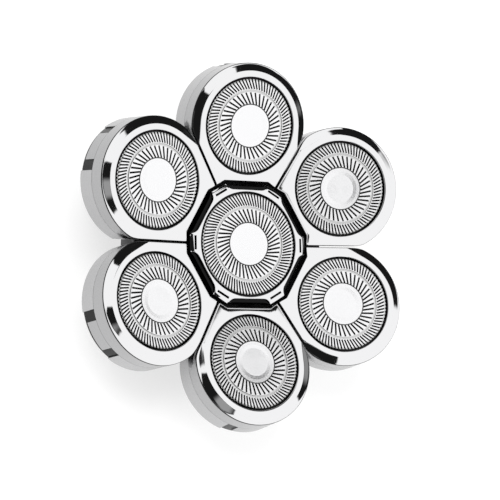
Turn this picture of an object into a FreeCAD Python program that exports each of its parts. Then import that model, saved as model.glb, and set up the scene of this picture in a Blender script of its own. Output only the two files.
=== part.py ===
import FreeCAD, Part

import math
import os

import Sketcher

# Rotary shaver head with six tilting outer heads round a sinking centre head.
# Millimetres, +Z towards the skin. The unit lies on the end of its connector collar, whose middle is the origin.
# Each outer head is drawn in a frame of its own: origin in the middle of the foil's opening, X away from the
# middle of the unit, Z out of the foil.

OUTER_HEADS = 6
FIRST_AZIMUTH = 30.0
FULL_TURN = 360.0

SIZES = (
    # the arrangement of the heads
    ("head_pitch", 21.0, "middle of the unit to the middle of an outer head's opening"),
    ("head_tilt", 10.87, "degrees that an outer head leans towards the middle at rest"),
    ("head_rise", 1.446, "outer heads' opening centres above the centre head's opening"),
    ("head_gap", 0.3, "gap between two outer heads at their tops"),
    ("ring_gap", 0.6, "gap between the outer heads and the centre ring's ears"),
    # the cap and shell of an outer head
    ("flank_wall", 1.15, "wall between a flank and the inside of cap and shell"),
    ("inner_wall", 0.68, "wall between the inner flat and that inside"),
    ("rim_wall", 2.0, "wall between the rim and that inside"),
    ("lip_width", 0.52, "lip that holds the foil, inside that wall"),
    ("lip_thickness", 0.75, "that lip"),
    ("bevel_width", 1.45, "bevel between the flat land and the rim"),
    ("bevel_drop", 0.6, "fall of the bevel from the land to the rim"),
    ("rim_round", 0.12, "rounding between bevel and wall"),
    ("shell_hem", 0.05, "bottom edge of the shell below the hinge bracket's eye"),
    ("shell_room", 0.55, "centre opening above the cover, less the depth of a shell"),
    ("groove_height", 2.0, "finger groove in each flank"),
    ("groove_depth", 0.7, "how deep the finger groove goes in"),
    ("groove_lift", 0.15, "finger groove above the parting line"),
    ("tongue_angle", 28.0, "degrees that the snap tongue spans"),
    ("tongue_length", 2.9, "snap tongue below the parting line"),
    ("recess_angle", 48.0, "degrees that the recess round the tongue spans"),
    ("recess_depth", 1.2, "recess depth from the outside"),
    ("spigot_wall", 0.6, "ring on the shell inside the cap"),
    ("spigot_room", 0.39, "air between that ring and the flange of a foil that is pressed in"),
    ("fit_gap", 0.08, "running clearance of a sliding or turning fit, each side"),
    # the foils
    ("foil_thickness", 0.35, "top plate of a foil"),
    ("foil_wall", 0.22, "side wall of a foil"),
    ("foil_edge_gap", 0.38, "gap between foil and opening"),
    ("flange_thickness", 0.35, "foil's flange under the lip"),
    ("flange_overlap", 0.37, "foil's flange beyond the opening"),
    ("seat_gap", 0.06, "gap between two faces that meet at a stop"),
    ("disc_share", 0.45, "plain disc in the middle of a foil, as a share of the foil's radius"),
    ("disc_dish", 0.05, "depth of the shallow dish in that disc"),
    ("inner_start_share", 0.463, "inner slots, near end, as a share of the foil's radius"),
    ("inner_end_share", 0.722, "inner slots, far end, as a share of the foil's radius"),
    ("band_share", 0.731, "sunk band between the slot rings, as a share of the foil's radius"),
    ("band_width", 0.36, "width of that band"),
    ("band_depth", 0.12, "depth of that band"),
    ("outer_start_share", 0.783, "outer slots, near end, as a share of the foil's radius"),
    ("slot_overrun", 0.4, "outer slots past the foil's edge"),
    ("inner_slot_width", 0.32, "width of an inner slot"),
    ("outer_slot_width", 0.29, "width of an outer slot"),
    ("inner_slot_count", 40, "inner slots"),
    ("outer_slot_count", 80, "outer slots"),
    ("slot_skew", 19.5, "degrees between a slot and the radius"),
    ("float_travel", 0.6, "how far a foil can be pressed in"),
    ("foil_boss_radius", 2.0, "boss under a foil for the cutter's pin"),
    ("pin_radius", 1.0, "the cutter hub's centring pin"),
    # the cutters
    ("blade_gap", 0.07, "cutter blades below the foil"),
    ("cutter_depth", 2.9, "underside of the cutter below the opening"),
    ("cutter_thickness", 0.4, "cutter's ring"),
    ("cutter_bore_share", 0.386, "cutter's ring, inside, as a share of the foil's radius"),
    ("blade_thickness", 0.35, "one blade"),
    ("blade_count", 12, "blades in each ring of a cutter"),
    ("hub_flange_overlap", 0.5, "cutter hub's flange beyond the cutter's bore"),
    ("hub_flange_thickness", 0.4, "that flange"),
    ("hub_radius", 3.1, "cutter hub's barrel"),
    ("socket_depth", 2.7, "drive socket in the cutter hub"),
    ("socket_flats", 3.9, "drive socket across flats"),
    ("guide_radius", 4.0, "hole in the guide plate for the cutter hub"),
    ("guide_thickness", 0.8, "guide plate"),
    ("guide_drop", 0.1, "guide plate below the parting line"),
    # the hinges
    ("hinge_pin_radius", 0.6, "hinge pin"),
    ("hinge_eye_radius", 1.15, "bracket's eye round the pin"),
    ("bracket_width", 6.4, "bracket along the pin"),
    ("bracket_stem", 1.6, "bracket's stem, radially"),
    ("cheek_gap", 0.25, "gap between bracket and cheek"),
    ("cheek_width", 1.0, "one cheek"),
    ("hinge_wall", 0.55, "shell's wall behind the bracket"),
    ("hinge_room", 0.17, "air between that wall and the bracket's eye"),
    ("hinge_headroom", 0.35, "air between the guide plate and that eye"),
    # the spindles and springs
    ("drive_offset", 1.0, "spindle further out than the opening's middle"),
    ("tip_flats", 2.6, "spindle's tip across flats"),
    ("tip_length", 1.8, "spindle's tip"),
    ("tip_play", 0.35, "tip below the end of its socket when the foil is pressed in"),
    ("neck_radius", 0.9, "spindle's neck"),
    ("spindle_flange_radius", 1.75, "spindle's flange on the spring"),
    ("spindle_flange_thickness", 0.45, "that flange"),
    ("outer_flange_lift", 1.5, "outer spindle's flange above the gearbox cover"),
    ("centre_flange_lift", 0.15, "centre spindle's flange above the gearbox cover"),
    ("stem_flats", 1.6, "spindle's stem across flats"),
    ("outer_stem_reach", 0.57, "outer stem below the floor of its cup"),
    ("centre_stem_reach", 0.97, "centre stem below the floor of its cup"),
    ("wire_radius", 0.14, "spring wire"),
    ("coil_radius", 1.4, "spring's mean radius"),
    ("coil_turns", 4.0, "turns of a spring"),
    ("cup_radius", 1.95, "spring's cup in a gear"),
    ("sleeve_radius", 2.5, "gear's sleeve round the cup"),
    ("cup_base", 0.77, "cup's floor above the gear's underside"),
    # the gears
    ("sun_teeth", 68, "teeth of the sun gear"),
    ("planet_teeth", 20, "teeth of a planet gear"),
    ("gear_thickness", 2.2, "gears"),
    ("gear_headroom", 0.35, "air between the gears and the cover"),
    ("backlash", 0.14, "play between meshing teeth"),
    ("journal_radius", 1.5, "planet gear's lower journal"),
    ("journal_length", 0.93, "that journal"),
    ("journal_room", 0.67, "air under that journal"),
    ("sun_journal_radius", 3.0, "sun gear's lower journal"),
    ("sun_journal_length", 3.4, "that journal"),
    ("drive_flats", 3.4, "the handle's drive socket across flats"),
    ("drive_depth", 2.0, "the handle's drive socket"),
    ("web_thickness", 1.0, "sun gear's web"),
    ("web_inner", 5.0, "web's inside radius"),
    ("web_margin", 2.6, "sun gear's rim"),
    ("web_hole_radius", 2.2, "lightening holes in the web"),
    # the gearbox
    ("collar_height", 6.0, "connector collar"),
    ("floor_thickness", 1.1, "housing's floor"),
    ("cover_thickness", 1.0, "cover"),
    ("gear_room", 0.35, "space round the gears"),
    ("hub_wall", 0.95, "housing's wall round the sun gear"),
    ("pod_wall", 0.85, "housing's wall round a planet gear"),
    ("bearing_wall", 0.8, "wall of a bearing boss"),
    ("bearing_gap", 0.18, "air between the bearing bosses and the gears"),
    ("pocket_floor", 0.7, "floor left under a planet's bearing"),
    ("screw_ring_share", 0.9273, "middle of the unit to a screw, as a share of that to a planet gear"),
    ("screw_lead", 18.0, "degrees from a planet gear to its screw"),
    ("screw_column", 1.7, "screw columns"),
    ("screw_radius", 0.5, "screw's shank"),
    ("screw_head_radius", 1.05, "screw's head"),
    ("screw_head_height", 0.7, "screw's head"),
    ("screw_bite", 0.75, "how far a screw goes into the cover"),
    ("boss_radius", 6.0, "middle boss on the cover"),
    ("boss_wall", 0.7, "middle boss"),
    ("boss_room", 0.2, "air between that boss and the plate of a centre holder that is pressed in"),
    # the centre head
    ("ear_width", 3.3, "flat end of an ear"),
    ("ear_length", 2.01, "ear, from the foil's opening in the centre ring to its flat end"),
    ("centre_band", 0.36, "narrowest part of the ring's top"),
    ("hollow_share", 0.66, "straight middle of the hollow between two ears, as a share of its width"),
    ("centre_step", 0.65, "widening of the ring below its top"),
    ("centre_step_depth", 0.55, "depth of that step"),
    ("ear_fall", 0.25, "degrees of slope of the ears, as a share of their length"),
    ("ear_slot_length", 2.5, "small slot in an ear"),
    ("ear_slot_width", 0.4, "small slot in an ear"),
    ("ear_slot_depth", 0.6, "small slot in an ear"),
    ("ear_slot_inset", 0.95, "that slot behind the ear's flat end"),
    ("ring_depth", 3.4, "bottom of the centre ring below its opening"),
    ("centre_lip", 0.36, "lip of the centre ring over its foil's flange"),
    ("centre_flange", 0.26, "centre foil's flange beyond the opening"),
    ("holder_overlap", 0.45, "centre holder beyond the ring's inside"),
    ("holder_wall", 0.7, "centre holder"),
    ("holder_room", 0.65, "air between cover and holder when it is pressed in"),
    ("sleeve_wall", 0.8, "holder's sleeve on the middle boss"),
    ("sleeve_room", 0.3, "air between cover and sleeve when the holder is pressed in"),
    ("sink_travel", 0.8, "how far the centre head can be pressed in"),
    ("stop_gap", 0.15, "air left under the centre hub when everything is pressed in"),
    ("centre_slot_step", 0.3, "centre foil's bands further out than on an outer head"),
    ("centre_inner_count", 45, "inner slots of the centre foil"),
    ("centre_outer_count", 90, "outer slots of the centre foil"),
    # the connector collar
    ("collar_radius", 14.0, "outside of the collar"),
    ("collar_wall", 1.7, "wall round the bore that takes the handle's spigot"),
    ("collar_bore_depth", 4.6, "depth of that bore"),
    ("collar_shoulder", 1.0, "shoulder that ends that bore"),
    ("collar_flange", 1.6, "flange beyond the collar's outside"),
    ("collar_flange_height", 1.1, "flange under the housing"),
    ("lug_angle", 26.0, "degrees that a bayonet lug spans"),
    ("lug_reach", 0.9, "bayonet lug beyond the collar's outside"),
    ("lug_height", 1.2, "bayonet lug"),
    ("lug_lift", 1.6, "bayonet lug above the collar's end"),
    ("key_width", 2.4, "key notch in the collar's end"),
    ("key_depth", 1.5, "key notch in the collar's end"),
)


class Size:
    """A number and the sheet expression that gives it, so that sums of sizes stay bound to the sheet."""

    def __init__(self, value, text):
        self.value = float(value)
        self.text = text

    @staticmethod
    def of(other):
        if isinstance(other, Size):
            return other
        return Size(other, repr(float(other)))

    def __add__(self, other):
        other = Size.of(other)
        return Size(self.value + other.value, "(%s + %s)" % (self.text, other.text))

    def __sub__(self, other):
        other = Size.of(other)
        return Size(self.value - other.value, "(%s - %s)" % (self.text, other.text))

    def __mul__(self, other):
        other = Size.of(other)
        return Size(self.value * other.value, "(%s * %s)" % (self.text, other.text))

    def __truediv__(self, other):
        other = Size.of(other)
        return Size(self.value / other.value, "(%s / %s)" % (self.text, other.text))

    def __radd__(self, other):
        return Size.of(other) + self

    def __rsub__(self, other):
        return Size.of(other) - self

    def __rmul__(self, other):
        return Size.of(other) * self

    def __neg__(self):
        return Size(-self.value, "(-1 * %s)" % self.text)

    def __float__(self):
        return self.value


def sine(angle):
    angle = Size.of(angle)
    return Size(math.sin(math.radians(angle.value)), "sin(%s)" % angle.text)


def cosine(angle):
    angle = Size.of(angle)
    return Size(math.cos(math.radians(angle.value)), "cos(%s)" % angle.text)


class Sheet:
    """Gives the sheet's cells by name, as sizes."""


def fill_sheet(doc):
    sheet = doc.addObject("Spreadsheet::Sheet", "Sizes")
    sizes = Sheet()
    for row, (name, value, meaning) in enumerate(SIZES, start=1):
        sheet.set("A%d" % row, meaning)
        sheet.set("B%d" % row, str(value))
        sheet.setAlias("B%d" % row, name)
    doc.recompute()
    for name, value, meaning in SIZES:
        setattr(sizes, name, Size(sheet.get(name), "Sizes." + name))
    return sizes


DOC = FreeCAD.newDocument("ShaverHead")
S = fill_sheet(DOC)

# Sizes that follow from the sheet
FLANK_ANGLE = 180.0 / OUTER_HEADS
GUIDE_DEPTH = S.cutter_depth + S.hub_flange_thickness + S.float_travel
GUIDE_BOTTOM = GUIDE_DEPTH + S.guide_thickness
PARTING_DEPTH = GUIDE_DEPTH - S.guide_drop
SPIGOT_DEPTH = S.lip_thickness + S.seat_gap + S.flange_thickness + S.float_travel + S.spigot_room
HINGE_DROP = GUIDE_BOTTOM + S.hinge_headroom + S.hinge_eye_radius
SHELL_DEPTH = HINGE_DROP + S.hinge_eye_radius + S.shell_hem
HEAD_HEIGHT = SHELL_DEPTH + S.shell_room
JOURNAL_BOTTOM = S.collar_height + S.pocket_floor + S.journal_room
GEAR_BOTTOM = JOURNAL_BOTTOM + S.journal_length
BEARING_TOP = GEAR_BOTTOM - S.bearing_gap
SUN_JOURNAL_BOTTOM = GEAR_BOTTOM - S.sun_journal_length
CUP_FLOOR = GEAR_BOTTOM + S.cup_base
COVER_BOTTOM = GEAR_BOTTOM + S.gear_thickness + S.gear_headroom
COVER_TOP = COVER_BOTTOM + S.cover_thickness
SLEEVE_TOP = COVER_TOP - S.fit_gap
HEAD_PLANE = COVER_TOP + HEAD_HEIGHT
HINGE_HEIGHT = HEAD_PLANE - HINGE_DROP
BOSS_HEIGHT = HEAD_HEIGHT - GUIDE_BOTTOM - S.sink_travel - S.boss_room
HOLDER_DEPTH = HEAD_HEIGHT - S.sink_travel - S.holder_room
SLEEVE_DEPTH = HEAD_HEIGHT - S.sink_travel - S.sleeve_room
INSIDE_RADIUS = S.head_pitch * sine(FLANK_ANGLE) - S.head_gap / 2 - S.flank_wall
RIM_RADIUS = INSIDE_RADIUS + S.rim_wall
LAND_RADIUS = RIM_RADIUS - S.bevel_width
OPENING_RADIUS = INSIDE_RADIUS - S.lip_width
FLAT_X = -(INSIDE_RADIUS + S.inner_wall)
INNER_FLAT = S.head_pitch + FLAT_X * cosine(S.head_tilt)
EAR_REACH = (INNER_FLAT - S.ring_gap - S.ear_width / 2 * sine(FLANK_ANGLE)) / cosine(FLANK_ANGLE)
TOE_REACH = EAR_REACH + S.ring_gap
CENTRE_OPENING = EAR_REACH - S.ear_length
CENTRE_POCKET = CENTRE_OPENING + S.centre_lip
HOLDER_RADIUS = CENTRE_POCKET + S.holder_overlap
FOIL_RADIUS = OPENING_RADIUS - S.foil_edge_gap
CENTRE_FOIL_RADIUS = CENTRE_OPENING - S.foil_edge_gap
DISC_RADIUS = FOIL_RADIUS * S.disc_share
INNER_SLOT_START = FOIL_RADIUS * S.inner_start_share
INNER_SLOT_END = FOIL_RADIUS * S.inner_end_share
BAND_START = FOIL_RADIUS * S.band_share
OUTER_SLOT_START = FOIL_RADIUS * S.outer_start_share
CUTTER_BORE = FOIL_RADIUS * S.cutter_bore_share
DRIVE_RADIUS = S.head_pitch + S.drive_offset
SCREW_RING = DRIVE_RADIUS * S.screw_ring_share
COLLAR_BORE = S.collar_radius - S.collar_wall
COLLAR_MOUTH = COLLAR_BORE - S.collar_shoulder
TOOTH_MODULE = DRIVE_RADIUS * 2 / (S.sun_teeth + S.planet_teeth)
SUN_PITCH_RADIUS = TOOTH_MODULE * S.sun_teeth / 2
PLANET_PITCH_RADIUS = TOOTH_MODULE * S.planet_teeth / 2
SUN_ROOM = SUN_PITCH_RADIUS + TOOTH_MODULE + S.gear_room
PLANET_ROOM = PLANET_PITCH_RADIUS + TOOTH_MODULE + S.gear_room
HUB_DEPTH = HEAD_HEIGHT - S.sink_travel - S.float_travel - S.stop_gap
TIP_DEPTH = HUB_DEPTH - S.socket_depth + S.float_travel + S.tip_play
HINGE_X = FLAT_X + S.hinge_wall + S.hinge_room + S.hinge_eye_radius
HINGE_Z = -(HINGE_DROP + S.head_rise + HINGE_X * sine(S.head_tilt)) / cosine(S.head_tilt)
HINGE_RADIUS = S.head_pitch + HINGE_X * cosine(S.head_tilt) - HINGE_Z * sine(S.head_tilt)
AZIMUTHS = [FIRST_AZIMUTH + index * FULL_TURN / OUTER_HEADS for index in range(OUTER_HEADS)]


def bind(item, prop, size):
    """Sets a property and ties it to the sheet."""
    item.setExpression(prop, Size.of(size).text)


def put(item, x=0.0, y=0.0, z=0.0, turn=None):
    """Places an item; turn is a rotation."""
    if turn is not None:
        item.Placement = FreeCAD.Placement(FreeCAD.Vector(0, 0, 0), turn)
    for axis, size in (("x", x), ("y", y), ("z", z)):
        bind(item, "Placement.Base." + axis, size)
    return item


def about_z(angle):
    return FreeCAD.Rotation(FreeCAD.Vector(0, 0, 1), float(angle))


def cylinder(name, radius, bottom, top, x=0.0, y=0.0, angle=None):
    item = DOC.addObject("Part::Cylinder", name)
    bind(item, "Radius", radius)
    bind(item, "Height", Size.of(top) - bottom)
    turn = None
    if angle is not None:
        bind(item, "Angle", angle)
        turn = about_z(-float(angle) / 2)
    return put(item, x, y, bottom, turn)


def polar_cylinder(name, radius, bottom, top, reach, azimuth):
    return cylinder(name, radius, bottom, top, reach * cosine(azimuth), reach * sine(azimuth))


def bar(name, radius, x, z, half_length):
    """A round bar along Y."""
    item = DOC.addObject("Part::Cylinder", name)
    bind(item, "Radius", radius)
    bind(item, "Height", half_length * 2)
    return put(item, x, -half_length, z, FreeCAD.Rotation(FreeCAD.Vector(1, 0, 0), -90))


def block(name, low, high):
    item = DOC.addObject("Part::Box", name)
    for prop, index in (("Length", 0), ("Width", 1), ("Height", 2)):
        bind(item, prop, Size.of(high[index]) - low[index])
    return put(item, *low)


def hexagon(name, flats, bottom, top):
    item = DOC.addObject("Part::Prism", name)
    item.Polygon = 6
    bind(item, "Circumradius", flats / 2 / cosine(30.0))
    bind(item, "Height", Size.of(top) - bottom)
    return put(item, z=bottom)


def fuse(name, shapes):
    item = DOC.addObject("Part::MultiFuse", name)
    item.Shapes = shapes
    return item


def common(name, shapes):
    item = DOC.addObject("Part::MultiCommon", name)
    item.Shapes = shapes
    return item


def cut(name, base, tools):
    item = DOC.addObject("Part::Cut", name)
    item.Base = base
    item.Tool = tools[0] if len(tools) == 1 else fuse(name + "Tools", tools)
    return item


def fix_point(sketch, index, direction, axis, size):
    """Holds one corner of an outline on an axis or at its distance from it."""
    if size.value == 0.0:
        sketch.addConstraint(Sketcher.Constraint("PointOnObject", index, 1, axis))
        return
    number = sketch.addConstraint(Sketcher.Constraint(direction, -1, 1, index, 1, size.value))
    sketch.setExpression("Constraints[%d]" % number, size.text)


def outline(body, name, plane, corners):
    """A closed outline of straight lines whose corners are tied to the sheet."""
    sketch = body.newObject("Sketcher::SketchObject", name)
    sketch.AttachmentSupport = ([item for item in body.Origin.OriginFeatures if item.Role == plane][0], [""])
    sketch.MapMode = "FlatFace"
    corners = [(Size.of(across), Size.of(up)) for across, up in corners]
    points = [FreeCAD.Vector(across.value, up.value, 0) for across, up in corners]
    count = len(points)
    for index in range(count):
        sketch.addGeometry(Part.LineSegment(points[index], points[(index + 1) % count]))
    for index in range(count):
        sketch.addConstraint(Sketcher.Constraint("Coincident", index, 2, (index + 1) % count, 1))
    for index, (across, up) in enumerate(corners):
        fix_point(sketch, index, "DistanceX", -2, across)
        fix_point(sketch, index, "DistanceY", -1, up)
    return sketch


def turned(name, corners, angle=FULL_TURN):
    """A turned form from its half section, given as (radius, height) corners; part turns straddle the X axis."""
    body = DOC.addObject("PartDesign::Body", name)
    sketch = outline(body, name + "Section", "XZ_Plane", corners)
    form = body.newObject("PartDesign::Revolution", name + "Turned")
    form.Profile = sketch
    form.ReferenceAxis = (sketch, ["V_Axis"])
    form.Angle = angle
    form.Midplane = angle < FULL_TURN
    return body


def rail(name, corners, length):
    """A straight form from its section, given as (y, height) corners, that runs from the YZ plane to -X."""
    body = DOC.addObject("PartDesign::Body", name)
    sketch = outline(body, name + "Section", "YZ_Plane", corners)
    form = body.newObject("PartDesign::Pad", name + "Pad")
    form.Profile = sketch
    form.Reversed = True
    bind(form, "Length", length)
    return body


def prism(name, corners, bottom, top):
    """An upright form from its plan."""
    body = DOC.addObject("PartDesign::Body", name)
    sketch = outline(body, name + "Plan", "XY_Plane", corners)
    form = body.newObject("PartDesign::Pad", name + "Pad")
    form.Profile = sketch
    bind(form, "Length", Size.of(top) - bottom)
    return put(body, z=bottom)


def group(name, shapes):
    """A fixed group of like solids, worked out from the sheet."""
    item = DOC.addObject("Part::Feature", name)
    item.Shape = Part.makeCompound(shapes)
    return item


def round_circle(name, base, radius, height, rounding):
    """Rounds the circular edges of this radius at this height."""
    DOC.recompute()
    edges = []
    for number, edge in enumerate(base.Shape.Edges, start=1):
        if not isinstance(edge.Curve, Part.Circle):
            continue
        level = abs(edge.Curve.Center.z - height.value) < 0.01
        if level and abs(edge.Curve.Radius - radius.value) < 0.01:
            edges.append((number, rounding.value, rounding.value))
    item = DOC.addObject("Part::Fillet", name)
    item.Base = base
    item.Edges = edges
    return item


# The outer heads

def head_plan(name, top, bottom):
    """The petal outline of an outer head: a disc with two flanks, an inner flat and two small toes."""
    lean = cosine(S.head_tilt)
    half_gap = S.head_gap / 2 / cosine(FLANK_ANGLE)
    slope = sine(FLANK_ANGLE) / cosine(FLANK_ANGLE)
    inner_y = (TOE_REACH - INNER_FLAT * cosine(FLANK_ANGLE)) / sine(FLANK_ANGLE)
    toe_x = (TOE_REACH * cosine(FLANK_ANGLE) - S.head_pitch) / lean
    toe_y = TOE_REACH * sine(FLANK_ANGLE) - half_gap
    far_x = RIM_RADIUS + 2
    far_y = (S.head_pitch + far_x * lean) * slope - half_gap
    corners = [(FLAT_X, -inner_y), (toe_x, -toe_y), (far_x, -far_y), (far_x, far_y), (toe_x, toe_y),
               (FLAT_X, inner_y)]
    wedge = prism(name + "Wedge", corners, bottom, top)
    disc = cylinder(name + "Disc", RIM_RADIUS, bottom, top)
    side = RIM_RADIUS * cosine(FLANK_ANGLE)
    corner_block = block(name + "Corners", (FLAT_X - 3, -side, bottom), (-RIM_RADIUS * sine(FLANK_ANGLE), side, top))
    return common(name + "Plan", [wedge, fuse(name + "Round", [disc, corner_block])])


def flank_groove(name, side):
    """The finger groove along one flank: a round bar that stands a little outside the flank."""
    half = S.groove_height / 2
    radius = (half * half + S.groove_depth * S.groove_depth) / (S.groove_depth * 2)
    item = DOC.addObject("Part::Cylinder", name)
    bind(item, "Radius", radius)
    bind(item, "Height", RIM_RADIUS * 4)
    lean = cosine(S.head_tilt)
    slope_angle = math.degrees(math.atan(math.tan(math.radians(FLANK_ANGLE)) * lean.value))
    along = FreeCAD.Vector(math.cos(math.radians(slope_angle)), side * math.sin(math.radians(slope_angle)), 0)
    flank_y = S.head_pitch * sine(FLANK_ANGLE) / cosine(FLANK_ANGLE) - S.head_gap / 2 / cosine(FLANK_ANGLE)
    outside = (radius - S.groove_depth) / math.cos(math.radians(slope_angle))
    turn = FreeCAD.Rotation(FreeCAD.Vector(0, 0, 1), along)
    start = RIM_RADIUS * 2
    depth = -(PARTING_DEPTH - S.groove_lift - half)
    return put(item, -start * along.x, side * (flank_y + outside) - start * along.y, depth, turn)


def bevel_tools():
    """What the bevel takes off: round the outer half of the land, then straight on along both flanks."""
    far = RIM_RADIUS + 3
    fall = S.bevel_drop * (far - LAND_RADIUS) / S.bevel_width
    section = [(LAND_RADIUS, 0), (far, -fall), (far, 1), (LAND_RADIUS, 1)]
    mirrored = [(-across, up) for across, up in section]
    return [
        turned("BevelRound", section, FULL_TURN / 2),
        rail("BevelLeft", section, far),
        rail("BevelRight", mirrored, far),
    ]


def cap_form():
    depth = PARTING_DEPTH
    blank = cut("CapBlank", head_plan("Cap", 0, -depth), bevel_tools())
    rounded = round_circle("CapRounded", blank, RIM_RADIUS, -S.bevel_drop, S.rim_round)
    bore = turned("CapBore", [(0, 1), (OPENING_RADIUS, 1), (OPENING_RADIUS, -S.lip_thickness),
                              (INSIDE_RADIUS, -S.lip_thickness), (INSIDE_RADIUS, -depth - 1), (0, -depth - 1)])
    grooves = [flank_groove("CapGrooveLeft", 1), flank_groove("CapGrooveRight", -1)]
    hollow = cut("CapHollow", rounded, [bore] + grooves)
    tongue_inside = RIM_RADIUS - S.recess_depth + S.fit_gap
    slab = cylinder("TongueSlab", RIM_RADIUS, -depth - S.tongue_length, -depth + 0.5, angle=S.tongue_angle)
    core = cylinder("TongueCore", tongue_inside, -depth - S.tongue_length - 1, -depth + 1)
    return fuse("CapForm", [hollow, cut("Tongue", slab, [core])])


def shell_form():
    top = -PARTING_DEPTH
    bottom = -SHELL_DEPTH
    guide_top = -GUIDE_DEPTH
    guide_bottom = -GUIDE_BOTTOM
    wall = head_plan("Shell", top, bottom)
    spigot_outside = INSIDE_RADIUS - S.fit_gap
    spigot = cylinder("ShellSpigot", spigot_outside, guide_top - 0.1, -SPIGOT_DEPTH)
    spigot_bore = cylinder("SpigotBore", spigot_outside - S.spigot_wall, guide_top, 1 - SPIGOT_DEPTH)
    guide_bore = cylinder("GuideBore", S.guide_radius, guide_bottom - 1, guide_top + 1)
    room = cylinder("ShellRoom", INSIDE_RADIUS, bottom - 1, guide_bottom)
    half_hinge = S.bracket_width / 2 + S.cheek_gap
    cheek_end = half_hinge + S.cheek_width
    wall_x = FLAT_X + S.hinge_wall
    hinge_room = block("HingeRoom", (wall_x, -cheek_end, bottom - 1), (HINGE_X + 3, cheek_end, guide_bottom))
    ring = cylinder("RecessOutside", RIM_RADIUS + 2, bottom - 1, top + 1, angle=S.recess_angle)
    ring_core = cylinder("RecessCore", RIM_RADIUS - S.recess_depth, bottom - 2, top + 2)
    recess = cut("SnapRecess", ring, [ring_core])
    hollow = cut("ShellHollow", fuse("ShellBlank", [wall, spigot]),
                 [spigot_bore, guide_bore, room, hinge_room, recess])
    cheeks = []
    cheek_bottom = HINGE_Z - S.hinge_pin_radius - 0.3
    for name, low_y, high_y in (("CheekLeft", half_hinge, cheek_end), ("CheekRight", -cheek_end, -half_hinge)):
        low = (wall_x - 0.2, low_y, cheek_bottom)
        cheeks.append(block(name, low, (HINGE_X + S.hinge_eye_radius, high_y, guide_bottom + 0.1)))
    pin = bar("HingePin", S.hinge_pin_radius, HINGE_X, HINGE_Z, cheek_end - 0.1)
    return fuse("ShellForm", [hollow, pin] + cheeks)


def slots(start, end, width, count, depth):
    """A ring of skewed slots through a foil."""
    skew = math.radians(S.slot_skew.value)
    length = (end.value - start.value - width.value * math.sin(skew)) / math.cos(skew)
    middle = (start.value + end.value) / 2
    shapes = []
    for index in range(int(count.value)):
        slot = Part.makeBox(length, width.value, depth, FreeCAD.Vector(-length / 2, -width.value / 2, -depth / 2))
        slot.rotate(FreeCAD.Vector(0, 0, 0), FreeCAD.Vector(0, 0, 1), S.slot_skew.value)
        slot.translate(FreeCAD.Vector(middle, 0, 0))
        slot.rotate(FreeCAD.Vector(0, 0, 0), FreeCAD.Vector(0, 0, 1), index * FULL_TURN / count.value)
        shapes.append(slot)
    return shapes


def foil_form(name, radius, flange, shift, inner_count, outer_count):
    """A stamped foil: plate, side wall, flange, centring boss and two rings of slots."""
    plate = -S.foil_thickness
    flange_top = -(S.lip_thickness + S.seat_gap)
    flange_bottom = flange_top - S.flange_thickness
    inside = radius - S.foil_wall
    band = BAND_START + shift
    rim_edge = 0.08
    section = [
        (0, -S.disc_dish), (DISC_RADIUS - 1.2, -S.disc_dish), (DISC_RADIUS - 0.6, -S.disc_dish / 3),
        (DISC_RADIUS, 0), (DISC_RADIUS, -S.band_depth), (DISC_RADIUS + 0.2, -S.band_depth),
        (DISC_RADIUS + 0.2, 0), (band, 0), (band, -S.band_depth), (band + S.band_width, -S.band_depth),
        (band + S.band_width, 0), (radius - rim_edge, 0), (radius, -rim_edge), (radius, flange_top),
        (flange, flange_top), (flange, flange_bottom), (inside, flange_bottom), (inside, plate),
        (S.foil_boss_radius, plate), (S.foil_boss_radius, plate - 1.1), (S.pin_radius + S.fit_gap, plate - 1.1),
        (S.pin_radius + S.fit_gap, plate), (0, plate),
    ]
    blank = turned(name + "Blank", section)
    depth = S.foil_thickness.value * 2 + 0.02
    cuts = slots(INNER_SLOT_START, INNER_SLOT_END + shift, S.inner_slot_width, inner_count, depth)
    cuts += slots(OUTER_SLOT_START + shift, radius + S.slot_overrun, S.outer_slot_width, outer_count, depth)
    return cut(name, blank, [group(name + "Slots", cuts)])


def blade_ring(start, end, lift, count, turn):
    """One ring of upright cutter blades."""
    thickness = S.blade_thickness.value
    height = S.cutter_depth.value - S.cutter_thickness.value - S.foil_thickness.value - S.blade_gap.value + lift
    bottom = -(S.cutter_depth.value - S.cutter_thickness.value) - lift
    shapes = []
    for index in range(int(count.value)):
        blade = Part.makeBox(end - start, thickness, height, FreeCAD.Vector(start, -thickness / 2, bottom))
        blade.rotate(FreeCAD.Vector((start + end) / 2, 0, 0), FreeCAD.Vector(0, 0, 1), -S.slot_skew.value)
        blade.rotate(FreeCAD.Vector(0, 0, 0), FreeCAD.Vector(0, 0, 1), turn + index * FULL_TURN / count.value)
        shapes.append(blade)
    return shapes


def cutter_form(name, inside, shift):
    """A steel ring with an inner and an outer ring of blades; inside is the foil's inner wall."""
    outside = inside - S.foil_wall
    top = -(S.cutter_depth - S.cutter_thickness)
    section = [(CUTTER_BORE, top), (CUTTER_BORE, -S.cutter_depth), (outside, -S.cutter_depth), (outside, top)]
    ring = turned(name + "Ring", section)
    sunk = 0.1
    half_step = 180.0 / S.blade_count.value
    inner = blade_ring(INNER_SLOT_START.value + 0.1, INNER_SLOT_END.value + float(shift), sunk, S.blade_count, 0)
    outer = blade_ring(OUTER_SLOT_START.value + float(shift), outside.value - 0.1, sunk, S.blade_count, half_step)
    return fuse(name, [ring, group(name + "Blades", inner + outer)])


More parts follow.
